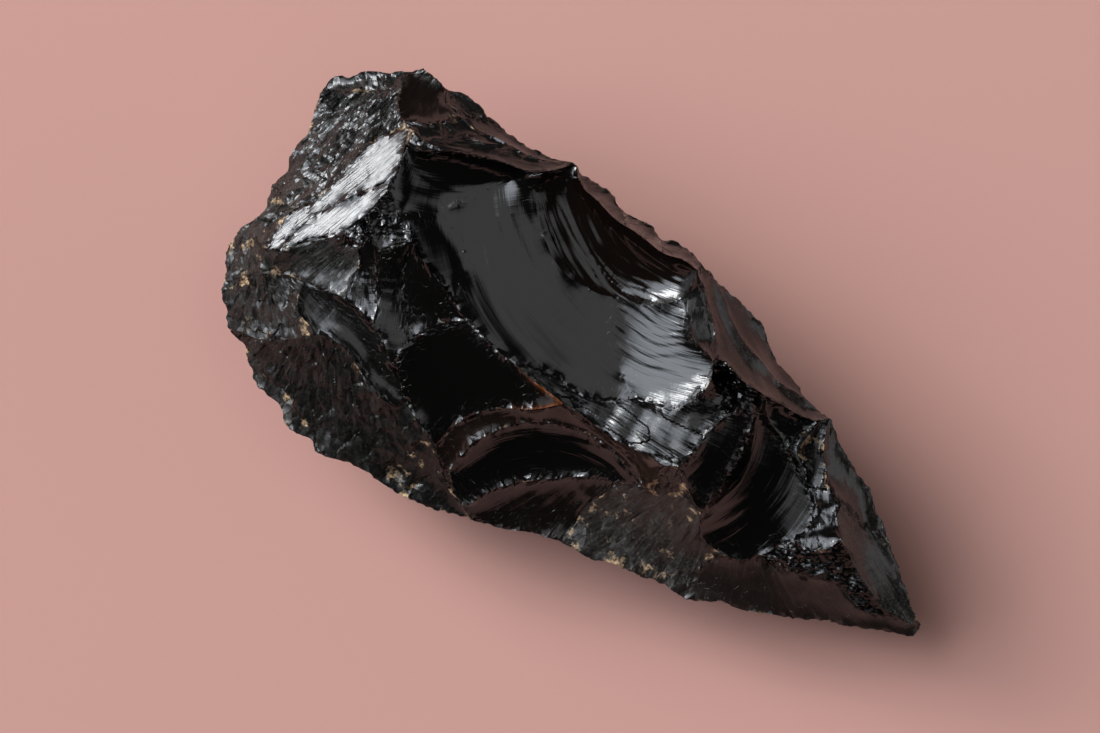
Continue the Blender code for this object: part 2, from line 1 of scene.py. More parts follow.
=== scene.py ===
"""The look of an obsidian chunk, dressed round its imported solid.

The ridges and scars are those of the solid, laid out again with finer points. To suit the light on them,
thirteen scars are a little more or less hollow here, and a point on each of two ridges is a little lower.
Each scar has a finish of its own: ripples round the place where its flake was struck, hackles that run out
from there, grain, crust and dust. The ridges are chipped.
"""

import math
import random
from collections import namedtuple
from functools import partial

import bpy
import numpy as np
from mathutils import Matrix, Vector, kdtree, noise
from mathutils.geometry import delaunay_2d_cdt


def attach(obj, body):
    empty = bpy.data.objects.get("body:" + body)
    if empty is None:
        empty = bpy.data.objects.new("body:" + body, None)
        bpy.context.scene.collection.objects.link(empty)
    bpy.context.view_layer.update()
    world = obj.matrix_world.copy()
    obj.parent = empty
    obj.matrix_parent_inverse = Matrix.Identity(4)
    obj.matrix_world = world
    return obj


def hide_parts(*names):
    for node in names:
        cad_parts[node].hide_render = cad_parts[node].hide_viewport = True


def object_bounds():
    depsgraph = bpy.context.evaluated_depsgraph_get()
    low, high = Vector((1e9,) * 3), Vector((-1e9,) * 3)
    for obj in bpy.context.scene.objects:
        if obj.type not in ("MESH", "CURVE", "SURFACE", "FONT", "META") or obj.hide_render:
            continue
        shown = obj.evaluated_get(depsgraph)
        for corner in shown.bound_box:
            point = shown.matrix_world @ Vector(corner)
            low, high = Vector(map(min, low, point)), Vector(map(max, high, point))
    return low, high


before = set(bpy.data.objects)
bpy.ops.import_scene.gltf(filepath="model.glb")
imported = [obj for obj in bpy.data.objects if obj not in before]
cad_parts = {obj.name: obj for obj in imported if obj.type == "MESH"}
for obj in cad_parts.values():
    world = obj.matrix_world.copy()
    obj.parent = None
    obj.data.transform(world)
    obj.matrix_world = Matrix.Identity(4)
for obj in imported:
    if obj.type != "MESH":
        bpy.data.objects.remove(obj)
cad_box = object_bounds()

# Driving dimensions, in metres. The first four are the solid's own.
LENGTH = 0.115  # from the heel to the tip
WEAR_DEPTH = 0.0003  # how far the ridges wander from the drawing
WEAR_SIZE = 0.0035  # the length of that wandering
WEAR_SHIFTS = (Vector((0, 0, 0)), Vector((31.4, 0, 0)), Vector((0, 57.2, 0)))  # one for each axis
FINE_STEP = 0.00028  # between points on the scars that show
PLAIN_STEP = 0.0008  # between points on the back and the underside

# The drawing's grid.
GRID_LENGTH = 791.5  # grid steps from the heel to the tip
GRID = LENGTH / GRID_LENGTH
GRID_CENTRE = (576.2, 438.0)  # across and down, of the middle of the chunk's box
MM = 0.001  # heights are drawn in millimetres
SIGHT_LEAN = math.radians(10)  # the line of sight, forward from the vertical
TURN = math.radians(38)  # from the grid's across to the chunk's long axis
TO_WORLD = Matrix.Rotation(TURN, 3, "Z")

# Ridges, each a line of points: (across, down, height), or the name and index of a point on an earlier ridge.
RIDGES = {
    "outline": [
        (335, 75, 30), (352, 76, 30.8), (367, 71, 31.2), (385, 72, 31.8), (408, 69, 32.6), (424, 67, 33),
        (440, 81, 33), (449, 88, 32), (468, 96, 31), (484, 110, 31), (488, 118, 31.5), (511, 133, 32.5),
        (528, 148, 33.5), (553, 158, 35.5), (566, 162, 37), (575, 166, 38), (583, 177, 36.2),
        (598, 183, 34.5), (612, 192, 33.5), (619, 207, 33.8), (636, 218, 33.2), (651, 225, 32.8),
        (661, 239, 33.2), (675, 242, 32.5), (692, 252, 33.4), (701, 265, 35.2), (711, 272, 33),
        (719, 281, 30), (742, 305, 27), (762, 325, 25), (775, 356, 23), (797, 384, 22), (806, 400, 22.5),
        (820, 411, 23.5), (831, 418, 24.5), (842, 444, 22.3), (855, 467, 20.5), (869, 487, 18.8),
        (874, 505, 17.9), (884, 528, 16.6), (892, 545, 15.5), (901, 568, 13.8), (909, 594, 11.8),
        (918, 616, 9.8), (920, 628, 8), (913, 637, 7.8), (890, 635, 8.4), (858, 629, 9.2), (822, 623, 10),
        (790, 617, 10.6), (750, 609, 11.4), (712, 603, 11.9), (684, 597, 12.2), (665, 584, 12.8),
        (640, 574, 13), (615, 566, 13.2), (590, 557, 13.5), (562, 543, 13.5), (530, 534, 13.5),
        (500, 527, 13.7), (472, 520, 14), (440, 511, 14.7), (404, 497, 16), (380, 482, 17), (352, 466, 17.5),
        (318, 453, 17.5), (309, 440, 17.5), (292, 430, 17.5), (284, 418, 17.5), (278, 404, 18),
        (262, 391, 18), (252, 380, 18), (249, 366, 18.8), (243, 348, 19.6), (231, 330, 20.4),
        (225, 308, 20.5), (222, 290, 21), (226, 265, 22), (228, 244, 23), (243, 227, 24.5), (262, 211, 25.5),
        (268, 198, 25.5), (272, 184, 26), (287, 173, 27), (290, 155, 27), (307, 131, 28), (316, 108, 28.5),
        (324, 90, 29.3), "outline 0",
    ],
    # The crown, and the brow that runs down from it to the heel.
    "brow": [
        "outline 4", (403, 88, 34.5), (398, 98, 35.5), (399, 112, 37), (402, 120, 37.5), (409, 129, 38.6),
        (406, 146, 39), (400, 162, 39.1), (393, 181, 39.1), (388, 193, 39.1), (377, 205, 38.6),
        (367, 217, 38.1), (355, 226, 37.4), (341, 236, 36.7), (326, 238, 35.6), (310, 241, 34.4),
        (296, 247, 33.5), (281, 253, 32.4), (264, 246, 30.9),
    ],
    "crown edge": ["outline 87", (345, 91, 31.4), (366, 89, 32.2), (385, 90, 33), "brow 1"],
    "crown cut": ["outline 2", "crown edge 2"],
    "crown notch": ["outline 3", "crown edge 3"],
    "slip edge": [
        "brow 5", (392, 131, 37.3), (372, 143, 36.1), (352, 163, 35.2), (335, 183, 34.5), (315, 199, 33.4),
        (297, 207, 32.3), (284, 223, 31.8), "brow 18",
    ],
    "slip crack": [
        "brow 8", (374, 189, 37.8), (354, 197, 36.5), (334, 205, 35.1), (316, 218, 34.1), (298, 232, 33.2),
        "brow 17",
    ],
    "shoulder foot": ["slip edge 6", (282, 202, 28.5), "outline 81"],
    "heel top": ["brow 18", (249, 235, 26.5), "outline 78"],
    # The nape, behind the brow.
    "nape ridge": ["outline 7", (446, 101, 34.5), (449, 112, 36), (441, 125, 38), (421, 122, 38), "brow 4"],
    "nape side": ["outline 10", (471, 117, 32.5), (458, 109, 34), "nape ridge 1"],
    "strip top": [
        "nape ridge 2", (463, 120, 35), (478, 131, 35.7), (492, 139, 36), (507, 147, 36.6), (532, 155, 36.8),
        (551, 161, 37), "outline 14",
    ],
    "pit edge": ["nape ridge 3", (446, 138, 39), (467, 137, 38), "strip top 2"],
    "strip low": ["brow 5", (425, 140, 40.2), "pit edge 1"],
    "crest": [
        "brow 6", (422, 151, 41), (442, 151, 41), (470, 156, 40.5), (500, 163, 40), (528, 171, 39.5),
        (546, 173, 39.3), (557, 170, 39), "outline 15",
    ],
    "crest chip": ["crest 2", "strip low 1"],
    "lens": ["pit edge 2", (485, 144, 38.3), "strip top 4"],
    # The hollows of the top.
    "fan foot": [
        "crest 5", (510, 181, 36.35), (488, 191, 36.1), (462, 203, 35.7), (436, 215, 35.8), (412, 220, 36.9),
        (400, 212, 37.2), "brow 9",
    ],
    "long ridge": [
        "fan foot 5", (412, 240, 37.6), (425, 262, 37.6), (440, 283, 36.8), (455, 303, 35.4),
        (470, 321, 34.6), (497, 349, 33.6), (520, 367, 32.7), (545, 388, 31.6), (562, 403, 31),
        (590, 420, 30.6), (620, 441, 31), (648, 457, 32.3), (663, 466, 33.4), (677, 467, 34.2),
    ],
    "blob edge": ["fan foot 4", (452, 229, 35.2), (464, 251, 34.7), (466, 275, 34.4), "long ridge 4"],
    "swirl": [
        "crest 6", (539, 190, 37.2), (537, 210, 36.5), (542, 235, 35.3), (553, 258, 34.4), (568, 275, 33.7),
        (590, 290, 33), (615, 300, 32.4), (640, 304, 32.9), (662, 303, 34.3), (680, 299, 36),
    ],
    "rim": [
        "outline 15", (581, 183, 38.4), (592, 197, 38.6), (607, 212, 38.8), (625, 227, 38.8),
        (643, 241, 38.8), (662, 253, 38.8), (683, 262, 38.6), (697, 270, 38.4),
    ],
    "knob edge": ["outline 25", "rim 8"],
    "bump one": ["outline 19", "rim 4"],
    "bump two": ["outline 22", "rim 6"],
    "olive top": ["swirl 10", (690, 286, 37.6), "rim 8"],
    "flank in": [
        "rim 8", (704, 288, 36.4), (708, 310, 34.8), (713, 335, 33.8), (719, 357, 34.2), (731, 371, 34.2),
        (745, 382, 33.4), (762, 394, 31.6), (780, 404, 29), (800, 413, 27), (818, 419, 25.6), "outline 34",
    ],
    "flank mid": [
        "outline 26", (722, 297, 31), (731, 320, 30.2), (744, 342, 29.2), (760, 362, 28.1), (780, 381, 26),
        (800, 397, 24.4), "outline 33",
    ],
    "olive left": ["swirl 10", (684, 318, 36.1), (693, 338, 36.2), (706, 354, 36), (712, 363, 35.7)],
    "olive foot": ["olive left 4", "flank in 4"],
    "lip": [
        "olive left 4", (712, 378, 36), (704, 390, 36), (690, 402, 35.3), (674, 410, 34), (655, 404, 32.6),
        (635, 400, 31.4), (612, 400, 30.8), (593, 400, 30.7), (575, 391, 30.9), (557, 378, 31.6),
        (538, 369, 32.4), "long ridge 7",
    ],
    "far line": ["swirl 7", (612, 325, 31.7), (614, 350, 31.2), (622, 376, 31), "lip 6"],
    "terrace edge": ["long ridge 14", (690, 453, 34.2), (703, 437, 34.3), (717, 423, 33.9), (729, 410, 33)],
    "glitter side": ["terrace edge 4", (727, 395, 31.9), (720, 379, 32.5), "olive left 4"],
    "glitter foot": ["terrace edge 4", (742, 414, 32.2), (752, 415, 31.4), (757, 412, 31)],
    "glitter end": ["glitter foot 3", (763, 402, 31), "flank in 7"],
    # The fan, the notch and the scroll near the tip.
    "rib": ["glitter foot 2", (746, 438, 30.8), (736, 462, 30.2), (720, 488, 28.9), (701, 513, 26.6)],
    "fan rim": [
        "rib 4", (701, 530, 21.8), (711, 545, 19.6), (726, 555, 18), (743, 559, 17.2), (758, 556, 17.8),
        (776, 546, 19.6), (797, 537, 21), (811, 521, 22), (815, 505, 22.6), (808, 489, 23), (797, 470, 23.6),
        (786, 452, 25), (775, 440, 26.4), (764, 425, 28.5), "glitter foot 3",
    ],
    "notch low": ["flank in 10", (805, 428, 24.8), (793, 438, 24.6), "fan rim 12"],
    "scroll in": [
        "flank in 10", (808, 434, 25.6), (801, 448, 25.1), (802, 462, 24.2), (807, 475, 23.5), "fan rim 10",
    ],
    "flank low": [
        "outline 34", (825, 432, 25), (823, 450, 24.4), (824, 470, 23.5), (830, 487, 24), (838, 503, 24.2),
        (852, 514, 21.4), (868, 528, 17.2), "outline 40",
    ],
    "cheek foot": ["flank low 4", (820, 488, 23.2), "fan rim 10"],
    "tip ridge": [
        "flank low 5", (836, 520, 24.4), (841, 540, 23.6), (852, 561, 20.6), (866, 585, 16.6),
        (882, 606, 13.3), (898, 619, 10.9), "outline 44",
    ],
    "bright foot": ["tip ridge 2", (826, 549, 22.2), (808, 551, 21), "fan rim 7"],
    "lump foot": ["bright foot 2", (799, 563, 18.5), (783, 569, 17), (768, 564, 16.7), "fan rim 5"],
    "front edge": [
        "tip ridge 6", (878, 617, 11.1), (861, 610, 12.8), (849, 596, 14.8), (836, 583, 16.5),
        (812, 577, 17.2), "lump foot 2",
    ],
    "front left": ["outline 52", (690, 583, 13), (700, 569, 15.2), (712, 557, 16.8), "fan rim 3"],
    # The strip, the arch and the apron along the front.
    "knuckle edge": ["long ridge 13", (655, 476, 30.2), (645, 488, 25.4)],
    "fan edge": ["long ridge 14", (684, 482, 31.2), (693, 498, 28.7), "rib 4"],
    "knuckle foot": ["knuckle edge 2", (668, 494, 26), (686, 499, 26.6), "rib 4"],
    "strip foot": [
        "long ridge 9", (577, 417, 29.6), (600, 432, 28.2), (622, 451, 27), (637, 469, 26.4),
        "knuckle edge 2",
    ],
    "apron left": ["outline 57", (575, 525, 14.4), (588, 507, 17), (604, 492, 20), (622, 481, 22.6)],
    "apron top": ["apron left 4", "knuckle edge 2"],
    "arch in": [
        "knuckle edge 2", (624, 466, 25), (606, 447, 26.2), (583, 432, 26.8), (555, 424, 27),
        (525, 424, 26.6), (497, 430, 25.8), (474, 442, 24.6), (458, 457, 22.8), (449, 474, 20.6),
        (452, 493, 18),
    ],
    "bowl foot": [
        "apron left 4", (595, 477, 21.8), (562, 478, 21), (530, 482, 20.2), (502, 488, 19.2), (478, 498, 18),
        (463, 505, 17.2), "arch in 10",
    ],
    "spine": [
        (345, 299, 32.5), (361, 309, 32.6), (375, 324, 32.4), (384, 341, 31.6), (391, 359, 30.7),
        (398, 376, 28.9), (408, 402, 27), (422, 428, 25.2), (434, 446, 23.8),
    ],
    "arch out": [
        "spine 8", (447, 434, 25), (462, 421, 26.4), (480, 413, 27.4), (505, 409, 28.6), (535, 409, 30.2),
        "long ridge 9",
    ],
    "arch side": ["arch in 10", (441, 475, 19.6), (437, 460, 21.8), "spine 8"],
    "rib left": ["outline 60", "bowl foot 6"],
    "sole ridge": ["outline 62", (420, 481, 16.6), "arch side 1"],
    "brown top": ["outline 63", (394, 471, 17.2), (408, 460, 20), (418, 445, 22.8), "spine 7"],
    # The black window, the flute and the glints between the brow and the apron.
    "window top": [
        "spine 5", (400, 355, 31), (411, 341, 31.7), (430, 327, 33), (449, 321, 33.9), "long ridge 5",
    ],
    "flute right": ["long ridge 1", (405, 262, 35.6), (403, 286, 34), (405, 312, 32.6), "window top 2"],
    "glint foot": ["brow 11", (370, 236, 37.1), (381, 251, 36.8), (397, 246, 37.6), "long ridge 1"],
    "flute left": ["spine 2", (376, 300, 33.6), (375, 278, 34.6), "glint foot 2"],
    "crystal foot": ["brow 13", (350, 245, 35.6), (361, 247, 35.9), "glint foot 1"],
    "side line": ["crystal foot 2", (359, 264, 34.6), (353, 281, 33.4), "spine 0"],
    # The heel and the apron that falls to the left.
    "apron ridge": [
        "outline 76", (240, 284, 24), (262, 276, 27.5), (284, 276, 29.6), (305, 281, 31.2), (325, 288, 32.2),
        "spine 0",
    ],
    "saddle": ["brow 17", (276, 264, 30.6), "apron ridge 3"],
    "apron fold": [
        "outline 74", (262, 338, 23.8), (290, 340, 27.2), (318, 334, 30), (345, 347, 30.4), (362, 375, 28.9),
        (385, 402, 27.3), "spine 6",
    ],
    "apron rib": ["apron ridge 4", (300, 307, 30.2), "apron fold 3"],
    "hem": [
        "outline 73", (258, 358, 20), (270, 378, 19.6), (285, 397, 19.4), (300, 416, 18.8), (314, 436, 17.8),
        "outline 65",
    ],
    "hem cut": ["outline 69", "hem 3"],
    # The back and the underside, down to the bed that the chunk rests on.
    "bed": [
        (372, 206, 0), (430, 196, 0), (500, 240, 0), (572, 296, 0), (648, 350, 0), (716, 424, 0),
        (762, 492, 0), (745, 532, 0), (652, 528, 0), (588, 492, 0), (505, 478, 0), (402, 428, 0),
        (334, 366, 0), (312, 290, 0), "bed 0",
    ],
    "belt": [
        "outline 0", (400, 112, 19), (475, 160, 16), (560, 222, 17), (640, 285, 15), (722, 350, 13),
        (800, 436, 12), "outline 38",
    ],
    "back one": ["outline 5", "belt 1"],
    "back two": ["outline 15", (572, 192, 28), "belt 3"],
    "back three": ["outline 25", (716, 310, 21), "belt 5"],
    "back four": ["outline 34", "belt 6"],
    "keel one": ["outline 84", (328, 180, 11), "bed 0"],
    "keel two": ["belt 2", (463, 186, 7), "bed 2"],
    "keel three": ["belt 4", (652, 324, 7), "bed 4"],
    "keel four": ["belt 6", (785, 462, 5), "bed 6"],
    "keel five": ["outline 44", (830, 585, 4.5), "bed 7"],
    "keel six": ["outline 52", (672, 564, 5.5), "bed 8"],
    "keel seven": ["outline 60", (492, 502, 6), "bed 10"],
    "keel eight": ["outline 65", (360, 438, 6), "bed 11"],
    "keel nine": ["outline 73", (288, 358, 8.5), "bed 12"],
    "keel ten": ["outline 77", (268, 275, 11), "bed 13"],
}

# Scars: the ridge stretches round each, clockwise seen from outside, and its hollow in millimetres.
SCARS = {
    "crown west": ("outline 87 90, crown cut 0 1, crown edge 2 0", 0.5),
    "crown middle": ("outline 2 3, crown notch 0 1, crown edge 3 2, crown cut 1 0", 0.3),
    "crown east": ("outline 3 4, brow 0 1, crown edge 4 3, crown notch 1 0", 0.4),
    "rough shoulder": ("outline 81 87, crown edge 0 4, brow 1 5, slip edge 0 6, shoulder foot 0 2", 0.1),
    "silver slip": ("slip edge 8 0, brow 5 8, slip crack 0 6, brow 17 18", 0.1),
    "silver band": ("slip crack 6 0, brow 8 17", 0.1),
    "heel roof": ("outline 78 81, shoulder foot 2 0, slip edge 6 8, heel top 0 2", 0.1),
    "nose": ("outline 76 78, heel top 2 0, brow 18 17, saddle 0 2, apron ridge 3 0", 0.1),
    "nape": ("brow 4 0, outline 4 7, nape ridge 0 5", 0.7),
    "nape side": ("outline 7 10, nape side 0 3, nape ridge 1 0", 0.5),
    "pink strip": ("nape ridge 5 3, pit edge 0 1, strip low 2 0, brow 5 4", 0.3),
    "pit": ("strip top 0 2, pit edge 3 0, nape ridge 3 2", 0.5),
    "long strip": ("outline 10 14, strip top 7 0, nape ridge 2 1, nape side 3 0", 0.5),
    "lens": ("strip top 2 4, lens 2 0, pit edge 2 3", 0.5),
    "lower strip": (
        "strip top 4 7, outline 14 15, crest 8 2, crest chip 0 1, strip low 1 2, pit edge 1 2, lens 0 2",
        0.4,
    ),
    "crest chips": ("strip low 0 1, crest chip 1 0, crest 2 0, brow 6 5", 0.3),
    "black fan": ("brow 9 6, crest 0 5, fan foot 0 7", 1.2),
    "blob": ("fan foot 5 4, blob edge 0 4, long ridge 4 0", 0.5),
    "mirror": (
        "crest 5 6, swirl 0 7, far line 0 4, lip 6 12, long ridge 7 4, blob edge 4 0, fan foot 4 0",
        0.5,
    ),
    "far end": ("swirl 7 10, olive left 0 4, lip 0 6, far line 4 0", 0.6),
    "bowl": ("crest 6 8, rim 0 8, olive top 2 0, swirl 10 0", 2.4),
    "olive wall": ("olive top 0 2, flank in 0 4, olive foot 1 0, olive left 4 0", 0.4),
    "terrace": ("lip 12 0, glitter side 3 0, terrace edge 4 0, long ridge 14 7", 0.4),
    "glitter": ("glitter side 0 3, olive foot 0 1, flank in 4 7, glitter end 2 0, glitter foot 3 0", 0.3),
    "rim west": ("outline 15 19, bump one 0 1, rim 4 0", 0.5),
    "rim middle": ("outline 19 22, bump two 0 1, rim 6 4, bump one 1 0", 0.4),
    "rim east": ("outline 22 25, knob edge 0 1, rim 8 6, bump two 1 0", 0.4),
    "flank inner": ("knob edge 1 0, outline 25 26, flank mid 0 7, outline 33 34, flank in 11 0", 0.9),
    "flank outer": ("outline 26 33, flank mid 7 0", 0.7),
    "fan left": ("terrace edge 0 4, glitter foot 0 2, rib 0 4, fan edge 3 0", 0.3),
    "fan": ("rib 4 0, glitter foot 2 3, fan rim 15 0", 1),
    "notch": ("glitter end 0 2, flank in 7 10, notch low 0 3, fan rim 12 15", 1.0),
    "scroll": ("notch low 3 0, scroll in 0 5, fan rim 10 12", 0.4),
    "cheek": ("flank in 10 11, flank low 0 4, cheek foot 0 2, scroll in 5 0", 0.7),
    "shield": ("outline 34 40, flank low 8 0", 0.7),
    "tip flank": ("flank low 5 8, outline 40 44, tip ridge 7 0", 0.4),
    "bright face": ("cheek foot 2 0, flank low 4 5, tip ridge 0 2, bright foot 0 3, fan rim 7 10", 0.1),
    "lumps": ("fan rim 5 7, bright foot 3 2, lump foot 0 4", 0.1),
    "coal": ("bright foot 2 0, tip ridge 2 6, front edge 0 6, lump foot 2 0", 0.3),
    "front": (
        "outline 44 52, front left 0 4, fan rim 3 5, lump foot 4 2, front edge 6 0, tip ridge 6 7",
        0.3,
    ),
    "apron": (
        "outline 52 57, apron left 0 4, apron top 0 1, knuckle foot 0 3, fan rim 0 3, front left 4 0",
        0.9,
    ),
    "knuckle": ("long ridge 13 14, fan edge 0 3, knuckle foot 3 0, knuckle edge 2 0", 0.5),
    "brown strip": ("long ridge 9 13, knuckle edge 0 2, strip foot 5 0", 0.4),
    "arch band": ("arch out 0 6, strip foot 0 5, arch in 0 10, arch side 0 3", 0.5),
    "arch bowl": ("arch in 10 0, apron top 1 0, bowl foot 0 7", 0.9),
    "ribs": ("outline 57 60, rib left 0 1, bowl foot 6 0, apron left 4 0", 0.9),
    "dark foot": ("outline 60 62, sole ridge 0 2, arch side 1 0, bowl foot 7 6, rib left 1 0", 0.5),
    "brown foot": ("outline 62 63, brown top 0 4, spine 7 8, arch side 3 1, sole ridge 2 0", 0.4),
    "window": ("window top 0 5, long ridge 5 9, arch out 6 0, spine 8 5", 0.4),
    "upper window": ("long ridge 1 5, window top 5 2, flute right 4 0", 0.2),
    "flute": ("glint foot 2 4, flute right 0 4, window top 2 0, spine 5 2, flute left 0 3", -0.3),
    "glint": ("fan foot 7 5, long ridge 0 1, glint foot 4 0, brow 11 9", 0.4),
    "crystals": ("glint foot 0 1, crystal foot 3 0, brow 13 11", 0.2),
    "glints": ("crystal foot 2 3, glint foot 1 2, flute left 3 0, spine 2 0, side line 3 0", 0.4),
    "shoulder": ("brow 17 13, crystal foot 0 2, side line 0 3, apron ridge 6 3, saddle 2 0", 0.7),
    "apron rough": ("outline 74 76, apron ridge 0 4, apron rib 0 2, apron fold 3 0", 0.3),
    "apron smooth": ("apron ridge 4 6, spine 0 6, apron fold 7 3, apron rib 2 0", 0.8),
    "apron lower": ("outline 73 74, apron fold 0 7, spine 6 7, brown top 4 0, outline 63 65, hem 6 0", 0.2),
    "hem west": ("outline 69 73, hem 0 3, hem cut 1 0", 0.2),
    "hem east": ("outline 65 69, hem cut 0 1, hem 3 6", 0.2),
    "back crown": ("outline 5 0, belt 0 1, back one 1 0", 0.8),
    "back brow": ("outline 15 5, back one 0 1, belt 1 3, back two 2 0", 1.5),
    "back bowl": ("outline 25 15, back two 0 2, belt 3 5, back three 2 0", 1.8),
    "back flank": ("outline 34 25, back three 0 2, belt 5 6, back four 1 0", 1.2),
    "back shield": ("outline 38 34, back four 0 1, belt 6 7", 0.5),
    "under crown": ("outline 88 84, keel one 0 2, bed 0 2, keel two 2 0, belt 2 0", 1.5),
    "under brow": ("keel two 0 2, bed 2 4, keel three 2 0, belt 4 2", 1.6),
    "under flank": ("keel three 0 2, bed 4 6, keel four 2 0, belt 6 4", 1.2),
    "under tip": ("outline 44 38, belt 7 6, keel four 0 2, bed 6 7, keel five 2 0", 1.2),
    "under front": ("outline 52 44, keel five 0 2, bed 7 8, keel six 2 0", 0.9),
    "under apron": ("outline 60 52, keel six 0 2, bed 8 10, keel seven 2 0", 0.8),
    "under foot": ("outline 65 60, keel seven 0 2, bed 10 11, keel eight 2 0", 0.7),
    "under hem": ("outline 73 65, keel eight 0 2, bed 11 12, keel nine 2 0", 0.6),
    "under heel": ("outline 77 73, keel nine 0 2, bed 12 13, keel ten 2 0", 0.6),
    "under shoulder": ("outline 84 77, keel ten 0 2, bed 13 14, keel one 2 0", 0.9),
    "bed": ("bed 14 0", 0.0),
}
FLAT = "bed"  # the scar that the chunk rests on stays flat
UNSEEN = ("bed", "belt", "keel")  # ridges that get plain steps
SOFT = ("far line", "swirl", "blob edge", "fan foot", "flank mid")  # ridges with no broken edge
CRUSHED = ("glitter side",)  # ridges with crystals along them
UNDER = ("under", "bed", "back")  # scars that get plain steps

# How a scar is finished. Lengths are in millimetres.
Finish = namedtuple(
    "Finish",
    [
        "struck",  # where on the grid its flake was struck, or None for a corner of its loop
        "ripple",  # how far apart its ripples are, and how high
        "hackle",  # how far apart its hackles are, and how high
        "grain",  # how coarse its grain is, and how high, or None
        "fine",  # its finest ripples' and hackles' heights, in micrometres, and its fine grains' tilt
        "gloss",  # how rough its glass is
        "crust",  # how much crust lies on it, from 0 to 1
        "dust",  # how dusty and scratched it is, from 0 to 1
        "amber",  # how much light comes through it, from 0 to 1
    ],
    defaults=[0, 0, 0],
)
# Everything but the struck place, for scars that look alike.
CROWN_LOOK = ((1.5, 0.06), (0.8, 0.05), (1, 0.04), (4, 8, 0.1), 0.18, 0.1, 0.3)
RIM_LOOK = ((1.5, 0.06), (1, 0.06), (1.2, 0.08), (3, 6, 0.1), 0.15, 0.1, 0.15)
HEM_LOOK = ((1.5, 0.06), (1, 0.1), (1.2, 0.1), (3, 6, 0.2), 0.25, 0.3, 0.6)

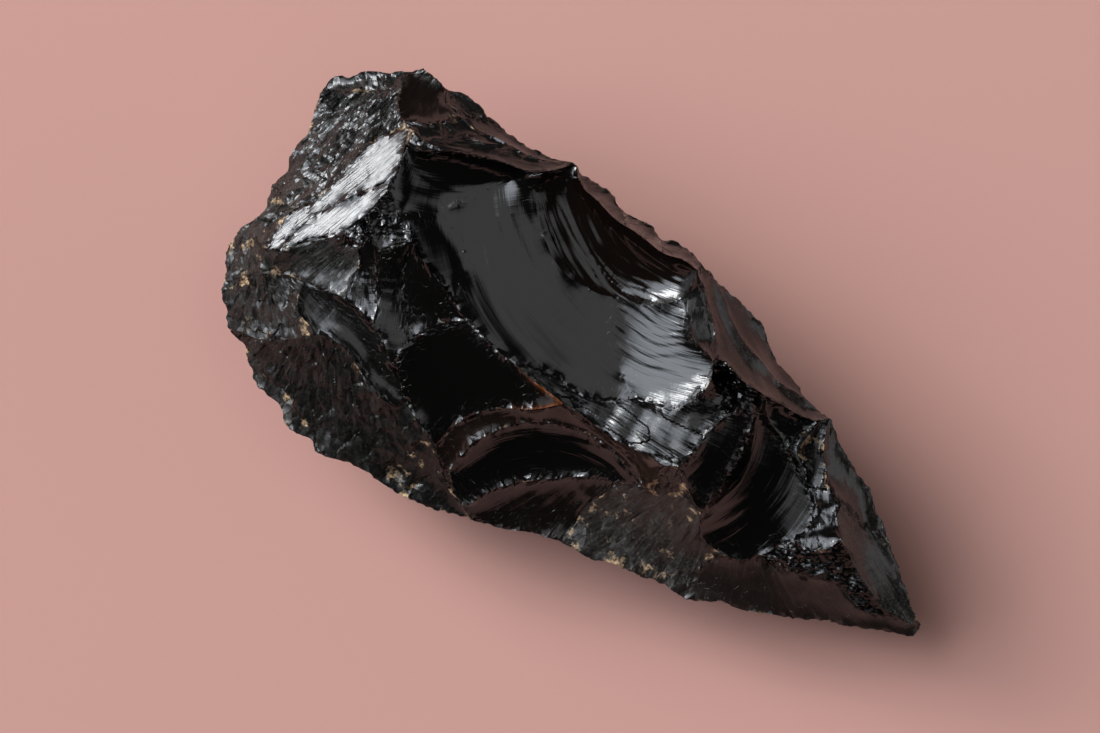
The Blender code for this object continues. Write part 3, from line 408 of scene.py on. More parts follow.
LOOKS = {
    "crown west": ((340, 40), (1.5, 0.08), (0.9, 0.06), (1.2, 0.05), (4, 8, 0.15), 0.2, 0.15, 0.3),
    "crown middle": ((365, 40), *CROWN_LOOK),
    "crown east": ((390, 40), *CROWN_LOOK),
    "rough shoulder": ((470, 0), (2, 0.05), (1, 0.2), (1.2, 0.42), (4, 14, 0.7), 0.14, 0.29, 0.6),
    "silver slip": ((900, -270), (6, 0), (0.9, 0.02), (1.5, 0.03), (0, 14, 0.04), 0.2, 0.12),
    "silver band": ((900, -250), (6, 0), (0.9, 0.01), None, (0, 11, 0), 0.18),
    "heel roof": ((330, 160), (1.5, 0.05), (1, 0.1), (1.4, 0.5), (4, 8, 0.4), 0.22, 0.5, 0.6),
    "nose": ((250, 220), (1.5, 0.08), (1, 0.15), (1.4, 0.55), (4, 10, 0.5), 0.22, 0.7, 0.6),
    "nape": ((440, 60), (2.5, 0.05), (1.2, 0.03), (1.5, 0.03), (3, 4, 0.1), 0.2, 0.05, 0.05, 0.01),
    "nape side": ((450, 80), (1.5, 0.05), (1.2, 0.06), (1.5, 0.05), (3, 4, 0.15), 0.2, 0.1, 0.3),
    "pink strip": ((400, 120), (1.5, 0.04), (1, 0.04), (1.5, 0.03), (2, 6, 0.1), 0.15, 0.1, 0.1),
    "pit": ((440, 120), (1.5, 0.03), (1, 0.03), (1, 0.18), (2, 3, 0.4), 0.3, 0.4, 0.1),
    "long strip": ((440, 90), (2, 0.05), (1, 0.05), (1.5, 0.02), (3, 8, 0.05), 0.22, 0.05, 0.1),
    "lens": ((460, 120), (1.5, 0.05), (1, 0.03), (1.5, 0.02), (2, 4, 0.05), 0.12, 0, 0.1),
    "lower strip": ((400, 140), (2, 0.05), (1, 0.08), (1.5, 0.02), (3, 10, 0.05), 0.2, 0.05, 0.1),
    "crest chips": ((430, 120), (1, 0.08), (0.9, 0.1), (0.9, 0.12), (3, 6, 0.15), 0.14, 0.1, 0.15),
    "black fan": ((455, 60), (2.2, 0.08), (1, 0.02), None, (6, 4, 0), 0.06),
    "blob": ((720, 180), (3, 0.04), (1, 0.01), None, (3, 2, 0), 0.05),
    "far end": ((735, 170), (1.3, 0.08), (1.4, 0.01), None, (12, 1, 0), 0.08),
    "mirror": ((735, 170), (3, 0.05), (1, 0.012), None, (5, 3, 0), 0.045),
    "bowl": ((715, 170), (1.4, -0.16), (1, 0.015), None, (7, 3, 0), 0.05, 0, 0, 0.008),
    "olive wall": ((695, 165), (2, 0.06), (1, 0.02), (1.5, 0.02), (3, 4, 0.05), 0.12, 0.05, 0.45),
    "terrace": ((400, 290), (5, 0.4), (1.2, 0.08), (3.5, 0.35), (3, 20, 0.04), 0.13),
    "glitter": ((620, 340), (1.4, 0.35), (0.9, 0.15), (1.6, 1.2), (4, 6, 0.8), 0.14, 0.1),
    "rim west": ((560, 190), *RIM_LOOK),
    "rim middle": ((610, 220), *RIM_LOOK),
    "rim east": ((640, 240), *RIM_LOOK),
    "flank inner": ((650, 160), (2.5, 0.05), (1, 0.1), None, (3, 9, 0.03), 0.11, 0.05, 0.6, 0.02),
    "flank outer": ((650, 160), (2.5, 0.05), (1, 0.08), None, (3, 9, 0.03), 0.11, 0.05, 0.4, 0.015),
    "fan left": ((620, 400), (1.6, 0.08), (0.9, 0.02), None, (4, 10, 0), 0.06),
    "fan": ((660, 420), (1.7, 0.08), (1, 0.015), None, (10, 4, 0), 0.06),
    "notch": ((740, 400), (1.6, 0.08), (1, 0.05), (1.5, 0.02), (4, 4, 0.05), 0.08),
    "scroll": ((760, 440), (1, 0.08), (0.9, 0.05), (1.2, 0.03), (3, 5, 0.05), 0.12, 0.1),
    "cheek": ((760, 450), (1.6, 0.1), (0.9, 0.04), (1.2, 0.04), (4, 5, 0.05), 0.12, 0.45, 0.1),
    "shield": ((830, 330), (2.5, 0.05), (1, 0.05), None, (3, 8, 0.03), 0.09, 0, 0.6, 0.01),
    "tip flank": ((800, 440), (2.5, 0.05), (0.9, 0.1), (1.5, 0.02), (3, 12, 0.03), 0.1, 0.15, 1),
    "bright face": ((815, 400), (5, 0.3), (1, 0.03), (3.5, 0.22), (3, 8, 0.1), 0.17, 0.05),
    "lumps": ((720, 540), (1.2, 0.2), (0.9, 0.15), (1.4, 0.9), (4, 6, 0.6), 0.11, 0.1),
    "coal": ((700, 560), (1.6, 0.1), (0.9, 0.12), (1.4, 0.9), (4, 8, 0.4), 0.12, 0.3, 0.05),
    "front": ((740, 500), (3, 0.06), (1.2, 0.05), (1.5, 0.02), (2, 6, 0.05), 0.32, 0.15, 0.1, 0.015),
    "apron": ((760, 420), (2, 0.06), (1, 0.08), (1.3, 0.05), (3, 10, 0.3), 0.24, 0.65, 0.8, 0.01),
    "knuckle": ((690, 430), (1.5, 0.04), (0.9, 0.04), (1.2, 0.35), (2, 6, 0.4), 0.2, 0.9, 0.25),
    "brown strip": ((500, 350), (2, 0.02), (0.9, 0.05), None, (2, 9, 0.03), 0.12, 0.1, 0.05, 0.02),
    "arch band": ((540, 560), (1.5, 0.06), (1, 0.05), None, (6, 5, 0), 0.16, 0.1, 0.1, 0.02),
    "arch bowl": ((540, 560), (1.8, 0.08), (1, 0.02), None, (8, 4, 0), 0.06),
    "ribs": ((640, 430), (2.5, 0.05), (1.4, 0.16), None, (3, 8, 0.03), 0.1, 0.1, 0.05, 0.008),
    "dark foot": ((520, 440), (2, 0.05), (1, 0.08), (1.3, 0.06), (3, 6, 0.1), 0.18, 0.3, 0.2),
    "brown foot": ((450, 400), (2, 0.05), (1, 0.08), (1.3, 0.1), (3, 6, 0.15), 0.24, 0.8, 0.3),
    "window": ((520, 300), (3, 0.03), (1, 0.005), None, (2, 1, 0), 0.045),
    "upper window": ((420, 200), (3, 0.04), (1, 0.015), None, (2, 3, 0), 0.05),
    "flute": ((430, 100), (2, -0.04), (1, 0.05), None, (3, 10, 0), 0.08),
    "glint": ((400, 200), (1, 0.15), (0.8, 0.12), (0.9, 0.2), (4, 6, 0.15), 0.1),
    "crystals": ((360, 200), (1, 0.2), (0.8, 0.15), (1.1, 0.42), (4, 6, 0.7), 0.1),
    "glints": ((370, 220), (1.5, 0.03), (0.9, 0.12), (1.2, 0.05), (4, 8, 0.1), 0.12, 0.1),
    "shoulder": ((400, 200), (2, 0.05), (1, 0.05), (1.3, 0.04), (3, 5, 0.15), 0.2, 0.15, 0.7),
    "apron rough": ((260, 250), (2, 0.05), (1.2, 0.08), (1.4, 0.3), (3, 8, 0.45), 0.24, 0.4, 0.5),
    "apron smooth": ((270, 260), (3, 0.05), (1.2, 0.03), None, (3, 4, 0.03), 0.1, 0.02, 0.12),
    "apron lower": ((330, 270), (2.5, 0.06), (1.2, 0.08), (1.5, 0.4), (3, 9, 0.25), 0.26, 0.3, 0.3),
    "hem west": ((300, 330), *HEM_LOOK),
    "hem east": ((330, 370), *HEM_LOOK),
}
FINISHES = {name: Finish(*look) for name, look in LOOKS.items()}
PLAIN = Finish(None, (3.5, 0.25), (2.2, 0.14), (2.4, 0.1), (8, 12, 0.06), 0.13, 0.2, 0.3)

WEATHERED = 0.3  # scars with this much crust or more have the duller glass

# How far the marks of a ridge reach into the scars beside it, in millimetres.
EDGE_REACH = 0.3  # the broken edge itself
RIM_REACH = 1.2  # the thicker crust
CRYSTAL_REACH = 1.5

# Light comes through the thin edge of one scar, round a place on the grid.
AMBER_SCAR = "window"
AMBER_MIDDLE = (552, 394)
AMBER_REACH = 26  # grid steps

# Chips along the ridges, by how a ridge's name starts: how far apart, how large and how deep, in millimetres.
CHIPPED = {
    "outline": (1.3, 1, 0.16),
    "brow": (1.6, 1.2, 0.22),
    "crest": (2, 1, 0.16),
    "crown": (1.5, 0.9, 0.15),
    "slip edge": (1.8, 1, 0.16),
    "slip crack": (1.6, 0.5, 0.08),
    "shoulder foot": (1.5, 1, 0.2),
    "heel top": (1.5, 1, 0.2),
    "nape": (2.5, 0.8, 0.1),
    "pit edge": (1.5, 0.8, 0.12),
    "glint": (1.2, 0.8, 0.14),
    "crystal": (1, 0.8, 0.14),
    "glitter": (1.2, 0.9, 0.2),
    "knob": (1, 0.9, 0.2),
    "lump": (1.2, 0.9, 0.16),
    "bright": (1.4, 0.9, 0.14),
    "front edge": (1.5, 1, 0.16),
    "tip ridge": (2.4, 0.9, 0.1),
    "spine": (2, 1, 0.16),
    "apron ridge": (2.2, 1, 0.14),
    "hem": (1.5, 1, 0.16),
    "sole": (2, 0.9, 0.14),
    "front left": (1.4, 1, 0.2),
    "cheek": (1.4, 0.8, 0.14),
    "flank low": (2.4, 0.8, 0.1),
    "flank in": (3, 0.8, 0.08),
    "long ridge": (3.5, 0.7, 0.06),
    "rim": (3, 0.7, 0.08),
    "fan rim": (3, 0.8, 0.08),
}

# Colours, as red, green, blue and alpha.
GLASS = (0.0016, 0.0014, 0.0012, 1)
AMBER = (0.22, 0.055, 0.008, 1)
DUST = (0.052, 0.051, 0.046, 1)
CRUST_DARK = (0.20, 0.11, 0.05, 1)
CRUST_LIGHT = (0.62, 0.45, 0.28, 1)
PAPER = (0.455, 0.241, 0.2, 1)
GREY_AIR = (0.98, 0.98, 1.0, 1)
BLUE_AIR = (0.90, 0.96, 1.05, 1)

# How strongly the fresh and the weathered glass mirror.
FRESH_SHINE = 0.5
WEATHERED_SHINE = 0.28

# The room, in metres. Directions are in the drawing's sense: across, up the drawing, and up from the surface.
# A glow has its direction, the degrees from there to where it begins to fade and ends, and its brightness.
CEILING = ((0, -0.10, 1), 17, 34, 0.92)
SKY = ((-0.71, 0.23, 0.66), 4, 37, 5.8)
LOW_SKY = ((-0.86, 0.50, 0.10), 5, 28, 1.6)
WALL = ((1, 0.05, 0.2), 6, 34, 0.9)
GLOOM = 0.03  # the brightness of the rest of the room
WINDOW = (-0.73, 0.48, 0.49)
WINDOW_DISTANCE = 1.6
WINDOW_SIDE = 0.52
WINDOW_BRIGHTNESS = 20.0
FLOOR_SIDE = 3.0

# The camera, on the drawing's line of sight.
EYE_DISTANCE = 3.0  # metres
VIEW_STEPS = 1100  # grid steps across the camera's view
VIEW_MIDDLE = (550, 366.5, 20)  # the grid point in the middle of the view, and its height in millimetres


def placed(across, down, height):
    """The point in metres, from where it is seen on the grid and its height."""
    right = (across - GRID_CENTRE[0]) * GRID
    seen_up = (GRID_CENTRE[1] - down) * GRID
    height = height * MM
    away = (seen_up - height * math.sin(SIGHT_LEAN)) / math.cos(SIGHT_LEAN)
    return TO_WORLD @ Vector((right, away, height))


def drawn(points):
    """Where the points are seen on the grid, across and down."""
    turned = points @ np.array(TO_WORLD)
    seen_up = turned[:, 1] * math.cos(SIGHT_LEAN) + turned[:, 2] * math.sin(SIGHT_LEAN)
    return np.column_stack([GRID_CENTRE[0] + turned[:, 0] / GRID, GRID_CENTRE[1] - seen_up / GRID])


def worn(point, flat):
    """The point moved a little by natural wandering. On the bed it stays at its height."""
    moved = Vector([noise.noise(point / WEAR_SIZE + shift) for shift in WEAR_SHIFTS]) * WEAR_DEPTH
    if flat:
        moved.z = 0
    return point + moved


def curve_point(before, start, end, after, share):
    """A point between start and end on the smooth curve through all four."""
    square, cube = share * share, share * share * share
    return 0.5 * (
        2 * start
        + (end - before) * share
        + (2 * before - 5 * start + 4 * end - after) * square
        + (3 * start - before - 3 * end + after) * cube
    )


class Chunk:
    """The points, faces and finishes of the chunk, as its ridges are laid out and its scars are filled."""

    def __init__(self):
        self.points = []
        self.faces = []
        self.weathered = []
        self.flow = []
        self.finish = []
        self.matter = []
        self.corners = {}
        self.stretches = {}
        self.soft = set()
        self.crushed = set()
        for name, line in RIDGES.items():
            self.lay_ridge(name, line)
        for name, (text, hollow) in SCARS.items():
            self.fill(name, text, hollow)

    def add(self, point):
        self.points.append(point)
        return len(self.points) - 1

    def lay_ridge(self, name, line):
        """Adds the ridge's own corners, then the points along each stretch between two corners."""
        ids = []
        for index, spot in enumerate(line):
            if isinstance(spot, str):
                ids.append(self.corners[spot])
            else:
                ids.append(self.add(worn(placed(*spot), name == FLAT)))
            self.corners[f"{name} {index}"] = ids[-1]
        corners = [self.points[i] for i in ids]
        closed = ids[0] == ids[-1]
        step = PLAIN_STEP if name.startswith(UNSEEN) else FINE_STEP
        for i in range(len(ids) - 1):
            start, end = corners[i], corners[i + 1]
            before = corners[i - 1] if i else (corners[-2] if closed else 2 * start - end)
            after = corners[i + 2] if i + 2 < len(ids) else (corners[1] if closed else 2 * end - start)
            count = max(1, round((end - start).length / step))
            between = [
                self.add(worn(curve_point(before, start, end, after, n / count), name == FLAT))
                for n in range(1, count)
            ]
            self.stretches[name, i] = [ids[i], *between, ids[i + 1]]
            if name in SOFT:
                self.soft.update(between, ids[1:-1])
            if name in CRUSHED:
                self.crushed.update(between, ids[1:-1])

    def loop(self, text):
        """The points round a scar, from the ridge stretches that the text names."""
        ring = []
        for part in text.split(", "):
            name, first, last = part.rsplit(" ", 2)
            first, last = int(first), int(last)
            count = len(RIDGES[name]) - 1
            for i in range(first, last) if first < last else range(first - 1, last - 1, -1):
                stretch = self.stretches[name, i % count]
                stretch = stretch if first < last else stretch[::-1]
                ring += stretch[1:] if ring else stretch
        return ring[:0:-1]

    def fill(self, name, text, hollow):
        """Fills the scar's loop with a skin that hangs from its ridges, hollowed and finished."""
        ring = self.loop(text)
        corners = np.array([self.points[i] for i in ring])
        centre, to_plane = own_plane(corners)
        flat_ring = (corners - centre) @ to_plane.T
        step = PLAIN_STEP if name.startswith(UNDER) else FINE_STEP
        inner = inner_points(flat_ring[:, :2], step)
        weights = in_batches(mean_value_weights, inner, flat_ring[:, :2])
        near = in_batches(ridge_distance, inner, flat_ring[:, :2])
        hung = weights @ flat_ring[:, 2] - hollow * MM * (1 - (1 - near / near.max()) ** 2)
        skin = np.column_stack([inner, hung]) @ to_plane + centre
        look = FINISHES.get(name, PLAIN)

        def flow(points):
            """Millimetres out from where the flake was struck and round it, and the scar's number."""
            if look.struck:
                gaps = (drawn(points) - look.struck) * GRID
            else:
                gaps = (points - corners[0]) @ to_plane[:2].T
            return spread(gaps / MM, len(self.flow))

        def fading(at_ring, reach, power=1):
            """What the ring's points have, and what is left of it at the inner points."""
            at_ring = np.array(at_ring, float)
            return np.concatenate([at_ring, np.exp(-((near / (reach * MM)) ** power)) * (weights @ at_ring)])

        if name != FLAT:
            high = relief(flow(skin), look) * np.clip(near / (2 * step), 0, 1) * MM
            skin += np.outer(high, to_plane[2])
        ids = [*ring, *(self.add(Vector(spot)) for spot in skin)]
        faces = triangles(np.vstack([flat_ring[:, :2], inner]), len(ring))
        every = np.array([self.points[i] for i in ids])
        rim = fading([True] * len(ring), RIM_REACH)
        edge = fading([i not in self.soft for i in ring], EDGE_REACH)
        crystals = fading([i in self.crushed for i in ring], CRYSTAL_REACH, 2)
        amber = look.amber + (name == AMBER_SCAR) * light_through(every, rim)
        finish = (look.gloss, *look.fine[:2], look.fine[2] + crystals)
        matter = (look.crust * (0.4 + 0.6 * rim), look.dust, amber, edge)
        self.faces.append(np.array(ids)[faces])
        self.weathered += [look.crust >= WEATHERED] * len(faces)
        self.flow.append(flow(every)[faces].reshape(-1, 3))
        for kept, values in ((self.finish, finish), (self.matter, matter)):
            rows = np.column_stack(np.broadcast_arrays(*values))
            kept.append(rows[faces].reshape(-1, 4))


def light_through(points, rim):
    """How much light comes through the glass at each point, near a thin edge."""
    far = np.linalg.norm(drawn(points) - AMBER_MIDDLE, axis=1) / AMBER_REACH
    return rim**8 * np.exp(-(far**2))


def own_plane(corners):
    """The middle of a loop, and the rows of its plane's two axes and its outward normal."""
    centre = corners.mean(axis=0)
    around = corners - centre
    normal = np.cross(around, np.roll(around, -1, axis=0)).sum(axis=0)
    normal /= np.linalg.norm(normal)
    first = np.cross(normal, np.eye(3)[np.argmin(np.abs(normal))])
    first /= np.linalg.norm(first)
    return centre, np.array([first, np.cross(normal, first), normal])


def in_batches(measure, points, ring):
    """The measure at each point, worked out for a few thousand points at a time."""
    batch = 3000
    return np.concatenate([measure(points[i : i + batch], ring) for i in range(0, len(points), batch)])


def to_ring(points, ring):
    """For each point and each side of the ring: the vector to the side's start, its length, and the side."""
    gaps = ring[None, :, :] - points[:, None, :]
    return gaps, np.linalg.norm(gaps, axis=2), np.roll(ring, -1, axis=0) - ring


def cross_and_dot(gaps):
    """The cross and the dot product of each point's vectors to a side's start and to its end."""
    after = np.roll(gaps, -1, axis=1)
    cross = gaps[:, :, 0] * after[:, :, 1] - gaps[:, :, 1] * after[:, :, 0]
    return cross, (gaps * after).sum(axis=2)


def edge_distance(points, ring):
    """How far each point is from the nearest side of the ring."""
    gaps, _, sides = to_ring(points, ring)
    share = np.clip(-(gaps * sides).sum(axis=2) / (sides**2).sum(axis=1), 0, 1)
    return np.linalg.norm(gaps + share[:, :, None] * sides, axis=2).min(axis=1)


def turns_round(points, ring):
    """True for each point that the ring goes round."""
    angle = np.arctan2(*cross_and_dot(to_ring(points, ring)[0]))
    return np.abs(angle.sum(axis=1)) > math.pi


def inner_points(ring, step):
    """A slightly uneven triangular lattice inside the ring, clear of its sides."""
    low, high = ring.min(axis=0), ring.max(axis=0)
    rows = np.arange(low[1], high[1], step * math.sqrt(0.75))
    lattice = [
        (x + (row % 2) * step / 2, y)
        for row, y in enumerate(rows)
        for x in np.arange(low[0], high[0], step)
    ]
    lattice = np.array(lattice).reshape(-1, 2)
    lattice += np.random.default_rng(5).uniform(-0.08, 0.08, lattice.shape) * step
    lattice = lattice[in_batches(turns_round, lattice, ring)]
    return lattice[in_batches(edge_distance, lattice, ring) > 0.55 * step]


def mean_value_weights(points, ring):
    """Floater's mean value coordinates: how much each ring point counts at each inner point."""
    gaps, far, _ = to_ring(points, ring)
    cross, dot = cross_and_dot(gaps)
    cross = np.where(np.abs(cross) < 1e-14, 1e-14, cross)
    half_tangent = (far * np.roll(far, -1, axis=1) - dot) / cross
    weights = (half_tangent + np.roll(half_tangent, 1, axis=1)) / far
    return weights / weights.sum(axis=1, keepdims=True)


def ridge_distance(points, ring):
    """A smooth measure of how far each point is from the ridges round it."""
    _, far, sides = to_ring(points, ring)
    return (np.linalg.norm(sides, axis=1) / far**3).sum(axis=1) ** -0.5


def triangles(flat, ring_size):
    """Triangles between flat points, as rows of indices. The first points are the ring round the others."""
    layout = [Vector(spot) for spot in flat]
    spots, _, faces, sources, *_ = delaunay_2d_cdt(layout, [], [list(range(ring_size))], 1, 1e-9)
    own = [
        source[0] if source else min(range(len(layout)), key=lambda i: (layout[i] - spot).length)
        for spot, source in zip(spots, sources)
    ]
    return np.array(own)[np.array(faces)]


def spread(gaps, number):
    """How far out and how far round each point is, from its gap to the place where the flake was struck."""
    out = np.linalg.norm(gaps, axis=1)
    middle = gaps.mean(axis=0)
    bearing = np.arctan2(middle[0] * gaps[:, 1] - middle[1] * gaps[:, 0], (gaps * middle).sum(axis=1))
    return np.column_stack([out, bearing * np.linalg.norm(middle), np.full(len(gaps), 7.3 * number)])


def relief(flow, look):
    """How far, in millimetres, each point stands above its skin: ripples, hackles and grain.

    Each ripple rises slowly on the way out and falls more steeply, and wanders and swells along its length.
    Every noise has its own place on the third axis.
    """
    heights = np.zeros(len(flow))
    for i, (out, round_, seed) in enumerate(flow):
        apart, high = look.ripple
        along, across = round_ / apart, out / apart
        wander = noise.noise(Vector((across / 4, along / 6, seed)))
        swell = 0.5 + noise.noise(Vector((across / 3, along / 8, seed + 50)))
        turn = math.tau * (across + 1.5 * wander)
        wave = math.sin(turn) - 0.3 * math.sin(2 * turn)
        heights[i] += high * 0.5 * swell * wave
        heights[i] += high * noise.noise(Vector((across * 1.7, along / 5, seed + 20)))
        apart, high = look.hackle
        heights[i] += high * noise.noise(Vector((out / apart / 8, round_ / apart * 1.3, seed + 30)))
        if look.grain:
            apart, high = look.grain
            heights[i] += high * crystal(Vector((out / apart / 2, round_ / apart, seed)))
    return heights


def crystal(spot):
    """Broken grain: small tilted facets that step up and down, from -1 to 1."""
    _, cells = noise.voronoi(spot)
    tilt = noise.cell_vector(cells[0] * 5)
    return 0.9 * (spot - cells[0]).dot(tilt) + 0.5 * (tilt.x - 0.5) + 0.5 * noise.noise(spot * 2.5)


def chip(points, pushes, tree, centre, size):
    """Scoops a small round hollow out of the ridge. Where chips overlap, the deeper counts."""
    for _, index, away in tree.find_range(centre, size):
        push = (points[index] - centre) * (size / max(away, 1e-9) - 1)
        if push.length > pushes[index].length:
            pushes[index] = push


def chip_ridges(mesh, stretches):
    """Chips the ridges that are worn, at places drawn by chance from a fixed seed."""
    draw = random.Random(7)
    points = [vertex.co.copy() for vertex in mesh.vertices]
    pushes = [Vector() for _ in points]
    normals = [vertex.normal.copy() for vertex in mesh.vertices]
    tree = kdtree.KDTree(len(points))
    for index, point in enumerate(points):
        tree.insert(point, index)
    tree.balance()
    for (name, _), stretch in stretches.items():
        wear = next((CHIPPED[start] for start in CHIPPED if name.startswith(start)), None)
        if wear is None:
            continue
        apart, size, depth = wear
        for spot in stretch[:-1]:
            if draw.random() < FINE_STEP / MM / apart:
                big = draw.uniform(0.5, 1.5) * MM
                lean = Vector((draw.uniform(-1, 1), draw.uniform(-1, 1), draw.uniform(-1, 1))) * 0.35
                outward = (normals[spot] + lean).normalized()
                chip(points, pushes, tree, points[spot] + outward * (size - depth) * big, size * big)
    chipped = np.clip([point + push for point, push in zip(points, pushes)], *cad_box)
    mesh.vertices.foreach_set("co", chipped.astype(np.float32).ravel())
    mesh.update()


def build_chunk():
    """The chunk's mesh, with its ridges sharp, and the finishes as attributes of its corners."""
    chunk = Chunk()
    mesh = bpy.data.meshes.new("obsidian_surface")
    mesh.from_pydata(chunk.points, [], np.concatenate(chunk.faces).tolist())
    mesh.polygons.foreach_set("material_index", chunk.weathered)
    chip_ridges(mesh, chunk.stretches)
    mesh.shade_smooth()
    mesh.set_sharp_from_angle(angle=math.radians(24))
    for name, kind, holds, values in (
        ("flow", "FLOAT_VECTOR", "vector", chunk.flow),
        ("finish", "FLOAT_COLOR", "color", chunk.finish),
        ("matter", "FLOAT_COLOR", "color", chunk.matter),
    ):
        layer = mesh.attributes.new(name, kind, "CORNER")
        layer.data.foreach_set(holds, np.concatenate(values).astype(np.float32).ravel())
    mesh.materials.append(obsidian("obsidian_glass", FRESH_SHINE))
    mesh.materials.append(obsidian("obsidian_weathered", WEATHERED_SHINE))
    body = bpy.data.objects.new("obsidian_surface", mesh)
    bpy.context.scene.collection.objects.link(body)
    return body


class Shader:
    """Builds the nodes of a material or the world in few words."""

    def __init__(self, owner):
        owner.use_nodes = True
        self.tree = owner.node_tree
        self.surface = self.tree.nodes.get("Principled BSDF") or self.tree.nodes["Background"]

    def node(self, kind, inputs=(), **settings):
        """A node, its inputs given as values or as other nodes' outputs."""
        made = self.tree.nodes.new("ShaderNode" + kind)
        for name, value in settings.items():
            setattr(made, name, value)
        for key, value in dict(inputs).items():
            self.feed(made.inputs[key], value)
        return made

    def feed(self, socket, value):
        """Sets the socket, or links another node's output to it."""
        if isinstance(value, bpy.types.NodeSocket):
            self.tree.links.new(value, socket)
        else:
            socket.default_value = value

    def maths(self, operation, result, *others, clamp=False):
        """The values joined by the operation, one after another."""
        for value in others:
            result = self.node("Math", {0: result, 1: value}, operation=operation, use_clamp=clamp).outputs[0]
        return result

    def attribute(self, name):
        """The four parts of a corner's attribute."""
        source = self.node("Attribute", attribute_name=name).outputs
        return [*self.node("SeparateColor", {0: source["Color"]}).outputs, source["Alpha"]]

    def noise(self, place, scale, detail, stretch=(1, 1, 1)):
        """Noise from about 0 to 1 at a place, stretched along its axes."""
        moved = self.node("Mapping", {"Vector": place, "Scale": stretch}).outputs[0]
        return self.node("TexNoise", {"Vector": moved, "Scale": scale, "Detail": detail}).outputs["Fac"]

    def facets(self, place, scale, steep):
        """Heights of flat grains, each tilted its own way."""
        grains = self.node("TexVoronoi", {"Vector": place, "Scale": scale})
        apart = self.node("VectorMath", {0: place, 1: grains.outputs["Position"]}, operation="SUBTRACT")
        tilt = self.node("VectorMath", {0: grains.outputs["Color"], 1: (0.5, 0.5, 0.5)}, operation="SUBTRACT")
        height = self.node("VectorMath", {0: apart.outputs[0], 1: tilt.outputs[0]}, operation="DOT_PRODUCT")
        return self.maths("MULTIPLY", height.outputs["Value"], steep)

    def ramp(self, value, low, high):
        """The value's share of the way from low to high, held between 0 and 1."""
        return self.node("MapRange", {"Value": value, "From Min": low, "From Max": high}).outputs[0]

    def mix(self, share, first, second):
        """The first colour, mixed with this share of the second."""
        node = self.node("Mix", {0: share, 6: first, 7: second}, data_type="RGBA")
        return node.outputs[2]


def obsidian(name, shine):
    """Black glass whose gloss, finest relief, crust and dust follow the scars' finishes."""
    material = bpy.data.materials.new(name)
    shader = Shader(material)
    add, multiply = partial(shader.maths, "ADD"), partial(shader.maths, "MULTIPLY")
    place = shader.node("TexCoord").outputs["Object"]
    flow = shader.node("Attribute", attribute_name="flow").outputs["Vector"]
    gloss, fine_ripple, fine_hackle, fine_grain = shader.attribute("finish")
    crust_here, dust_here, amber_here, edge = shader.attribute("matter")

    # The finest relief, in metres. Noise runs along the ripples and out along the hackles.
    ripple = multiply(shader.noise(flow, 1.0, 3.0, (3.2, 0.12, 1)), fine_ripple, 6e-6)
    hackle = multiply(shader.noise(flow, 1.0, 3.0, (0.16, 4.5, 1)), fine_hackle, 4e-6)
    drift = shader.node("Mapping", {"Vector": flow, "Scale": (0.45 * MM, 1.0 * MM, 1.0 * MM)}).outputs[0]
    grains = add(shader.facets(drift, 800.0, 2.0), shader.facets(drift, 2200.0, 1.2))
    height = add(ripple, hackle, multiply(grains, add(fine_grain, multiply(edge, 0.6))))
    bump = shader.node("Bump", {"Height": height, "Distance": 1.0}).outputs[0]

    # Crust in patches, thicker on broken edges, and dust that gathers in scratches and specks.
    specks = shader.noise(place, 2600.0, 3.0)
    patches = shader.ramp(shader.noise(place, 420.0, 5.0), 0.5, 0.68)
    crust = shader.ramp(multiply(patches, add(crust_here, multiply(edge, 0.36)), specks), 0.12, 0.34)
    scratches = shader.ramp(shader.noise(flow, 1.0, 4.0, (0.5, 2.6, 1)), 0.25, 0.75)
    dust = multiply(dust_here, scratches, add(0.6, shader.ramp(specks, 0.48, 0.7)))
    glass = shader.mix(amber_here, shader.mix(dust, GLASS, DUST), AMBER)
    colour = shader.mix(crust, glass, shader.mix(specks, CRUST_DARK, CRUST_LIGHT))
    rough = add(gloss, add(multiply(crust, 0.6), multiply(dust, 0.35)), clamp=True)

    sockets = shader.surface.inputs
    for socket, value in (("Base Color", colour), ("Roughness", rough), ("Normal", bump), ("IOR", 1.5)):
        shader.feed(sockets[socket], value)
    sockets["Specular IOR Level"].default_value = shine
    return material


def paper_floor():
    """A plain pale floor under the chunk."""
    bpy.ops.mesh.primitive_plane_add(size=FLOOR_SIDE)
    floor = bpy.context.object
    floor.name = "floor"
    material = bpy.data.materials.new("floor_paper")
    sockets = Shader(material).surface.inputs
    sockets["Base Color"].default_value = PAPER
    sockets["Roughness"].default_value = 0.9
    floor.data.materials.append(material)


def toward(across, up_drawing, up):
    """A unit direction in the world from one in the drawing's sense."""
    return (TO_WORLD @ Vector((across, up_drawing, up))).normalized()


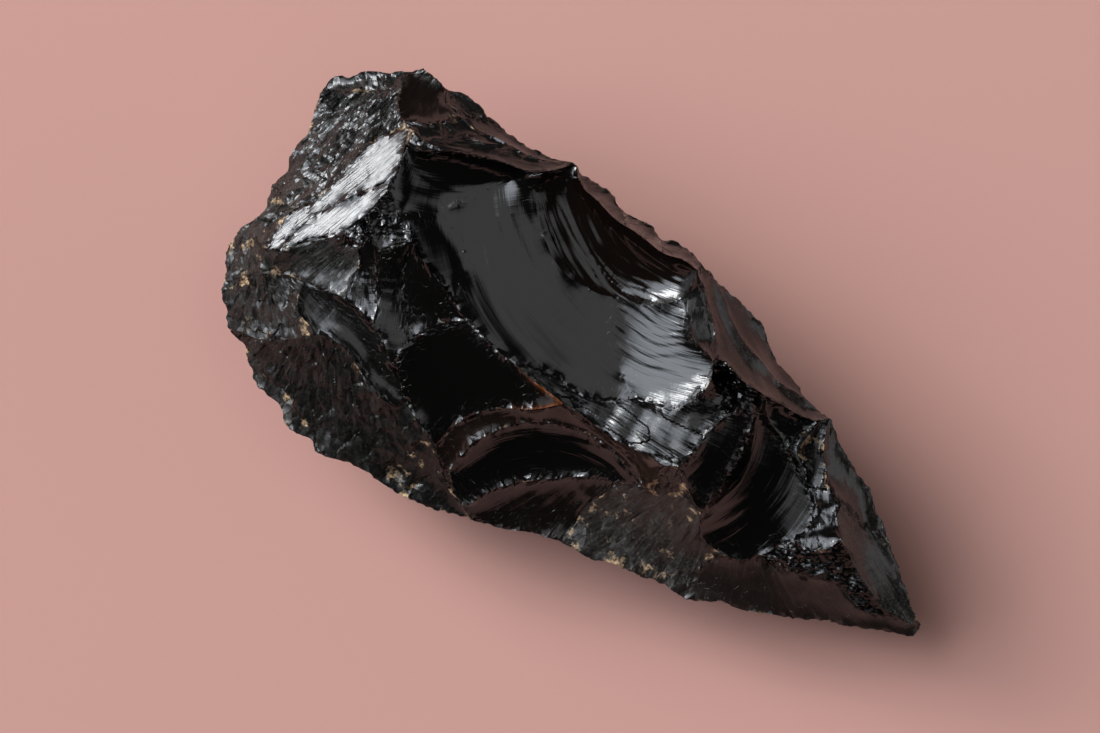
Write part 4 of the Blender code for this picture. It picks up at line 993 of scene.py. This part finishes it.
def glow(shader, direction, full, edge, bright):
    """A soft round glow in the room, even in its full part and fading to its edge."""
    heading = shader.node("TexCoord").outputs["Generated"]
    facing = {0: heading, 1: toward(*direction)}
    share = shader.node("VectorMath", facing, operation="DOT_PRODUCT").outputs["Value"]
    low, high = math.cos(math.radians(edge)), math.cos(math.radians(full))
    limits = {"Value": share, "From Min": low, "From Max": high}
    soft = shader.node("MapRange", limits, interpolation_type="SMOOTHSTEP").outputs[0]
    return shader.maths("MULTIPLY", soft, bright)


def room():
    """The air of the dark room, with its soft glows."""
    world = bpy.data.worlds.new("room")
    air = Shader(world)
    ceiling, sky, low_sky, wall = [glow(air, *light) for light in (CEILING, SKY, LOW_SKY, WALL)]
    blue = air.maths("MULTIPLY", sky, 0.4, clamp=True)
    air.feed(air.surface.inputs["Color"], air.mix(blue, GREY_AIR, BLUE_AIR))
    air.feed(air.surface.inputs["Strength"], air.maths("ADD", ceiling, sky, low_sky, wall, GLOOM))
    bpy.context.scene.world = world


def window():
    """A soft square window that lights the chunk."""
    data = bpy.data.lights.new("window", "AREA")
    data.shape = "RECTANGLE"
    data.size = data.size_y = WINDOW_SIDE
    data.energy = WINDOW_BRIGHTNESS * math.pi * WINDOW_SIDE * WINDOW_SIDE
    lamp = bpy.data.objects.new("window", data)
    lamp.visible_camera = False
    at = Vector((0, 0, 0.02))
    lamp.location = at + toward(*WINDOW) * WINDOW_DISTANCE
    lamp.rotation_mode = "QUATERNION"
    lamp.rotation_quaternion = (at - lamp.location).to_track_quat("-Z", "Y")
    bpy.context.scene.collection.objects.link(lamp)


def camera():
    """The camera, which looks along the drawing's line of sight."""
    data = bpy.data.cameras.new("camera")
    data.sensor_width = 36.0
    data.lens = data.sensor_width * EYE_DISTANCE / (VIEW_STEPS * GRID)
    eye = bpy.data.objects.new("camera", data)
    right = toward(1, 0, 0)
    sight = toward(0, -math.sin(SIGHT_LEAN), math.cos(SIGHT_LEAN))
    turned = Matrix((right, sight.cross(right), sight)).transposed().to_4x4()
    eye.matrix_world = Matrix.Translation(placed(*VIEW_MIDDLE) + sight * EYE_DISTANCE) @ turned
    bpy.context.scene.collection.objects.link(eye)
    bpy.context.scene.camera = eye
    bpy.context.scene.view_settings.view_transform = "Standard"


def main():
    surface = build_chunk()
    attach(surface, "root")
    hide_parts("obsidian_chunk")
    paper_floor()
    room()
    window()
    camera()


main()
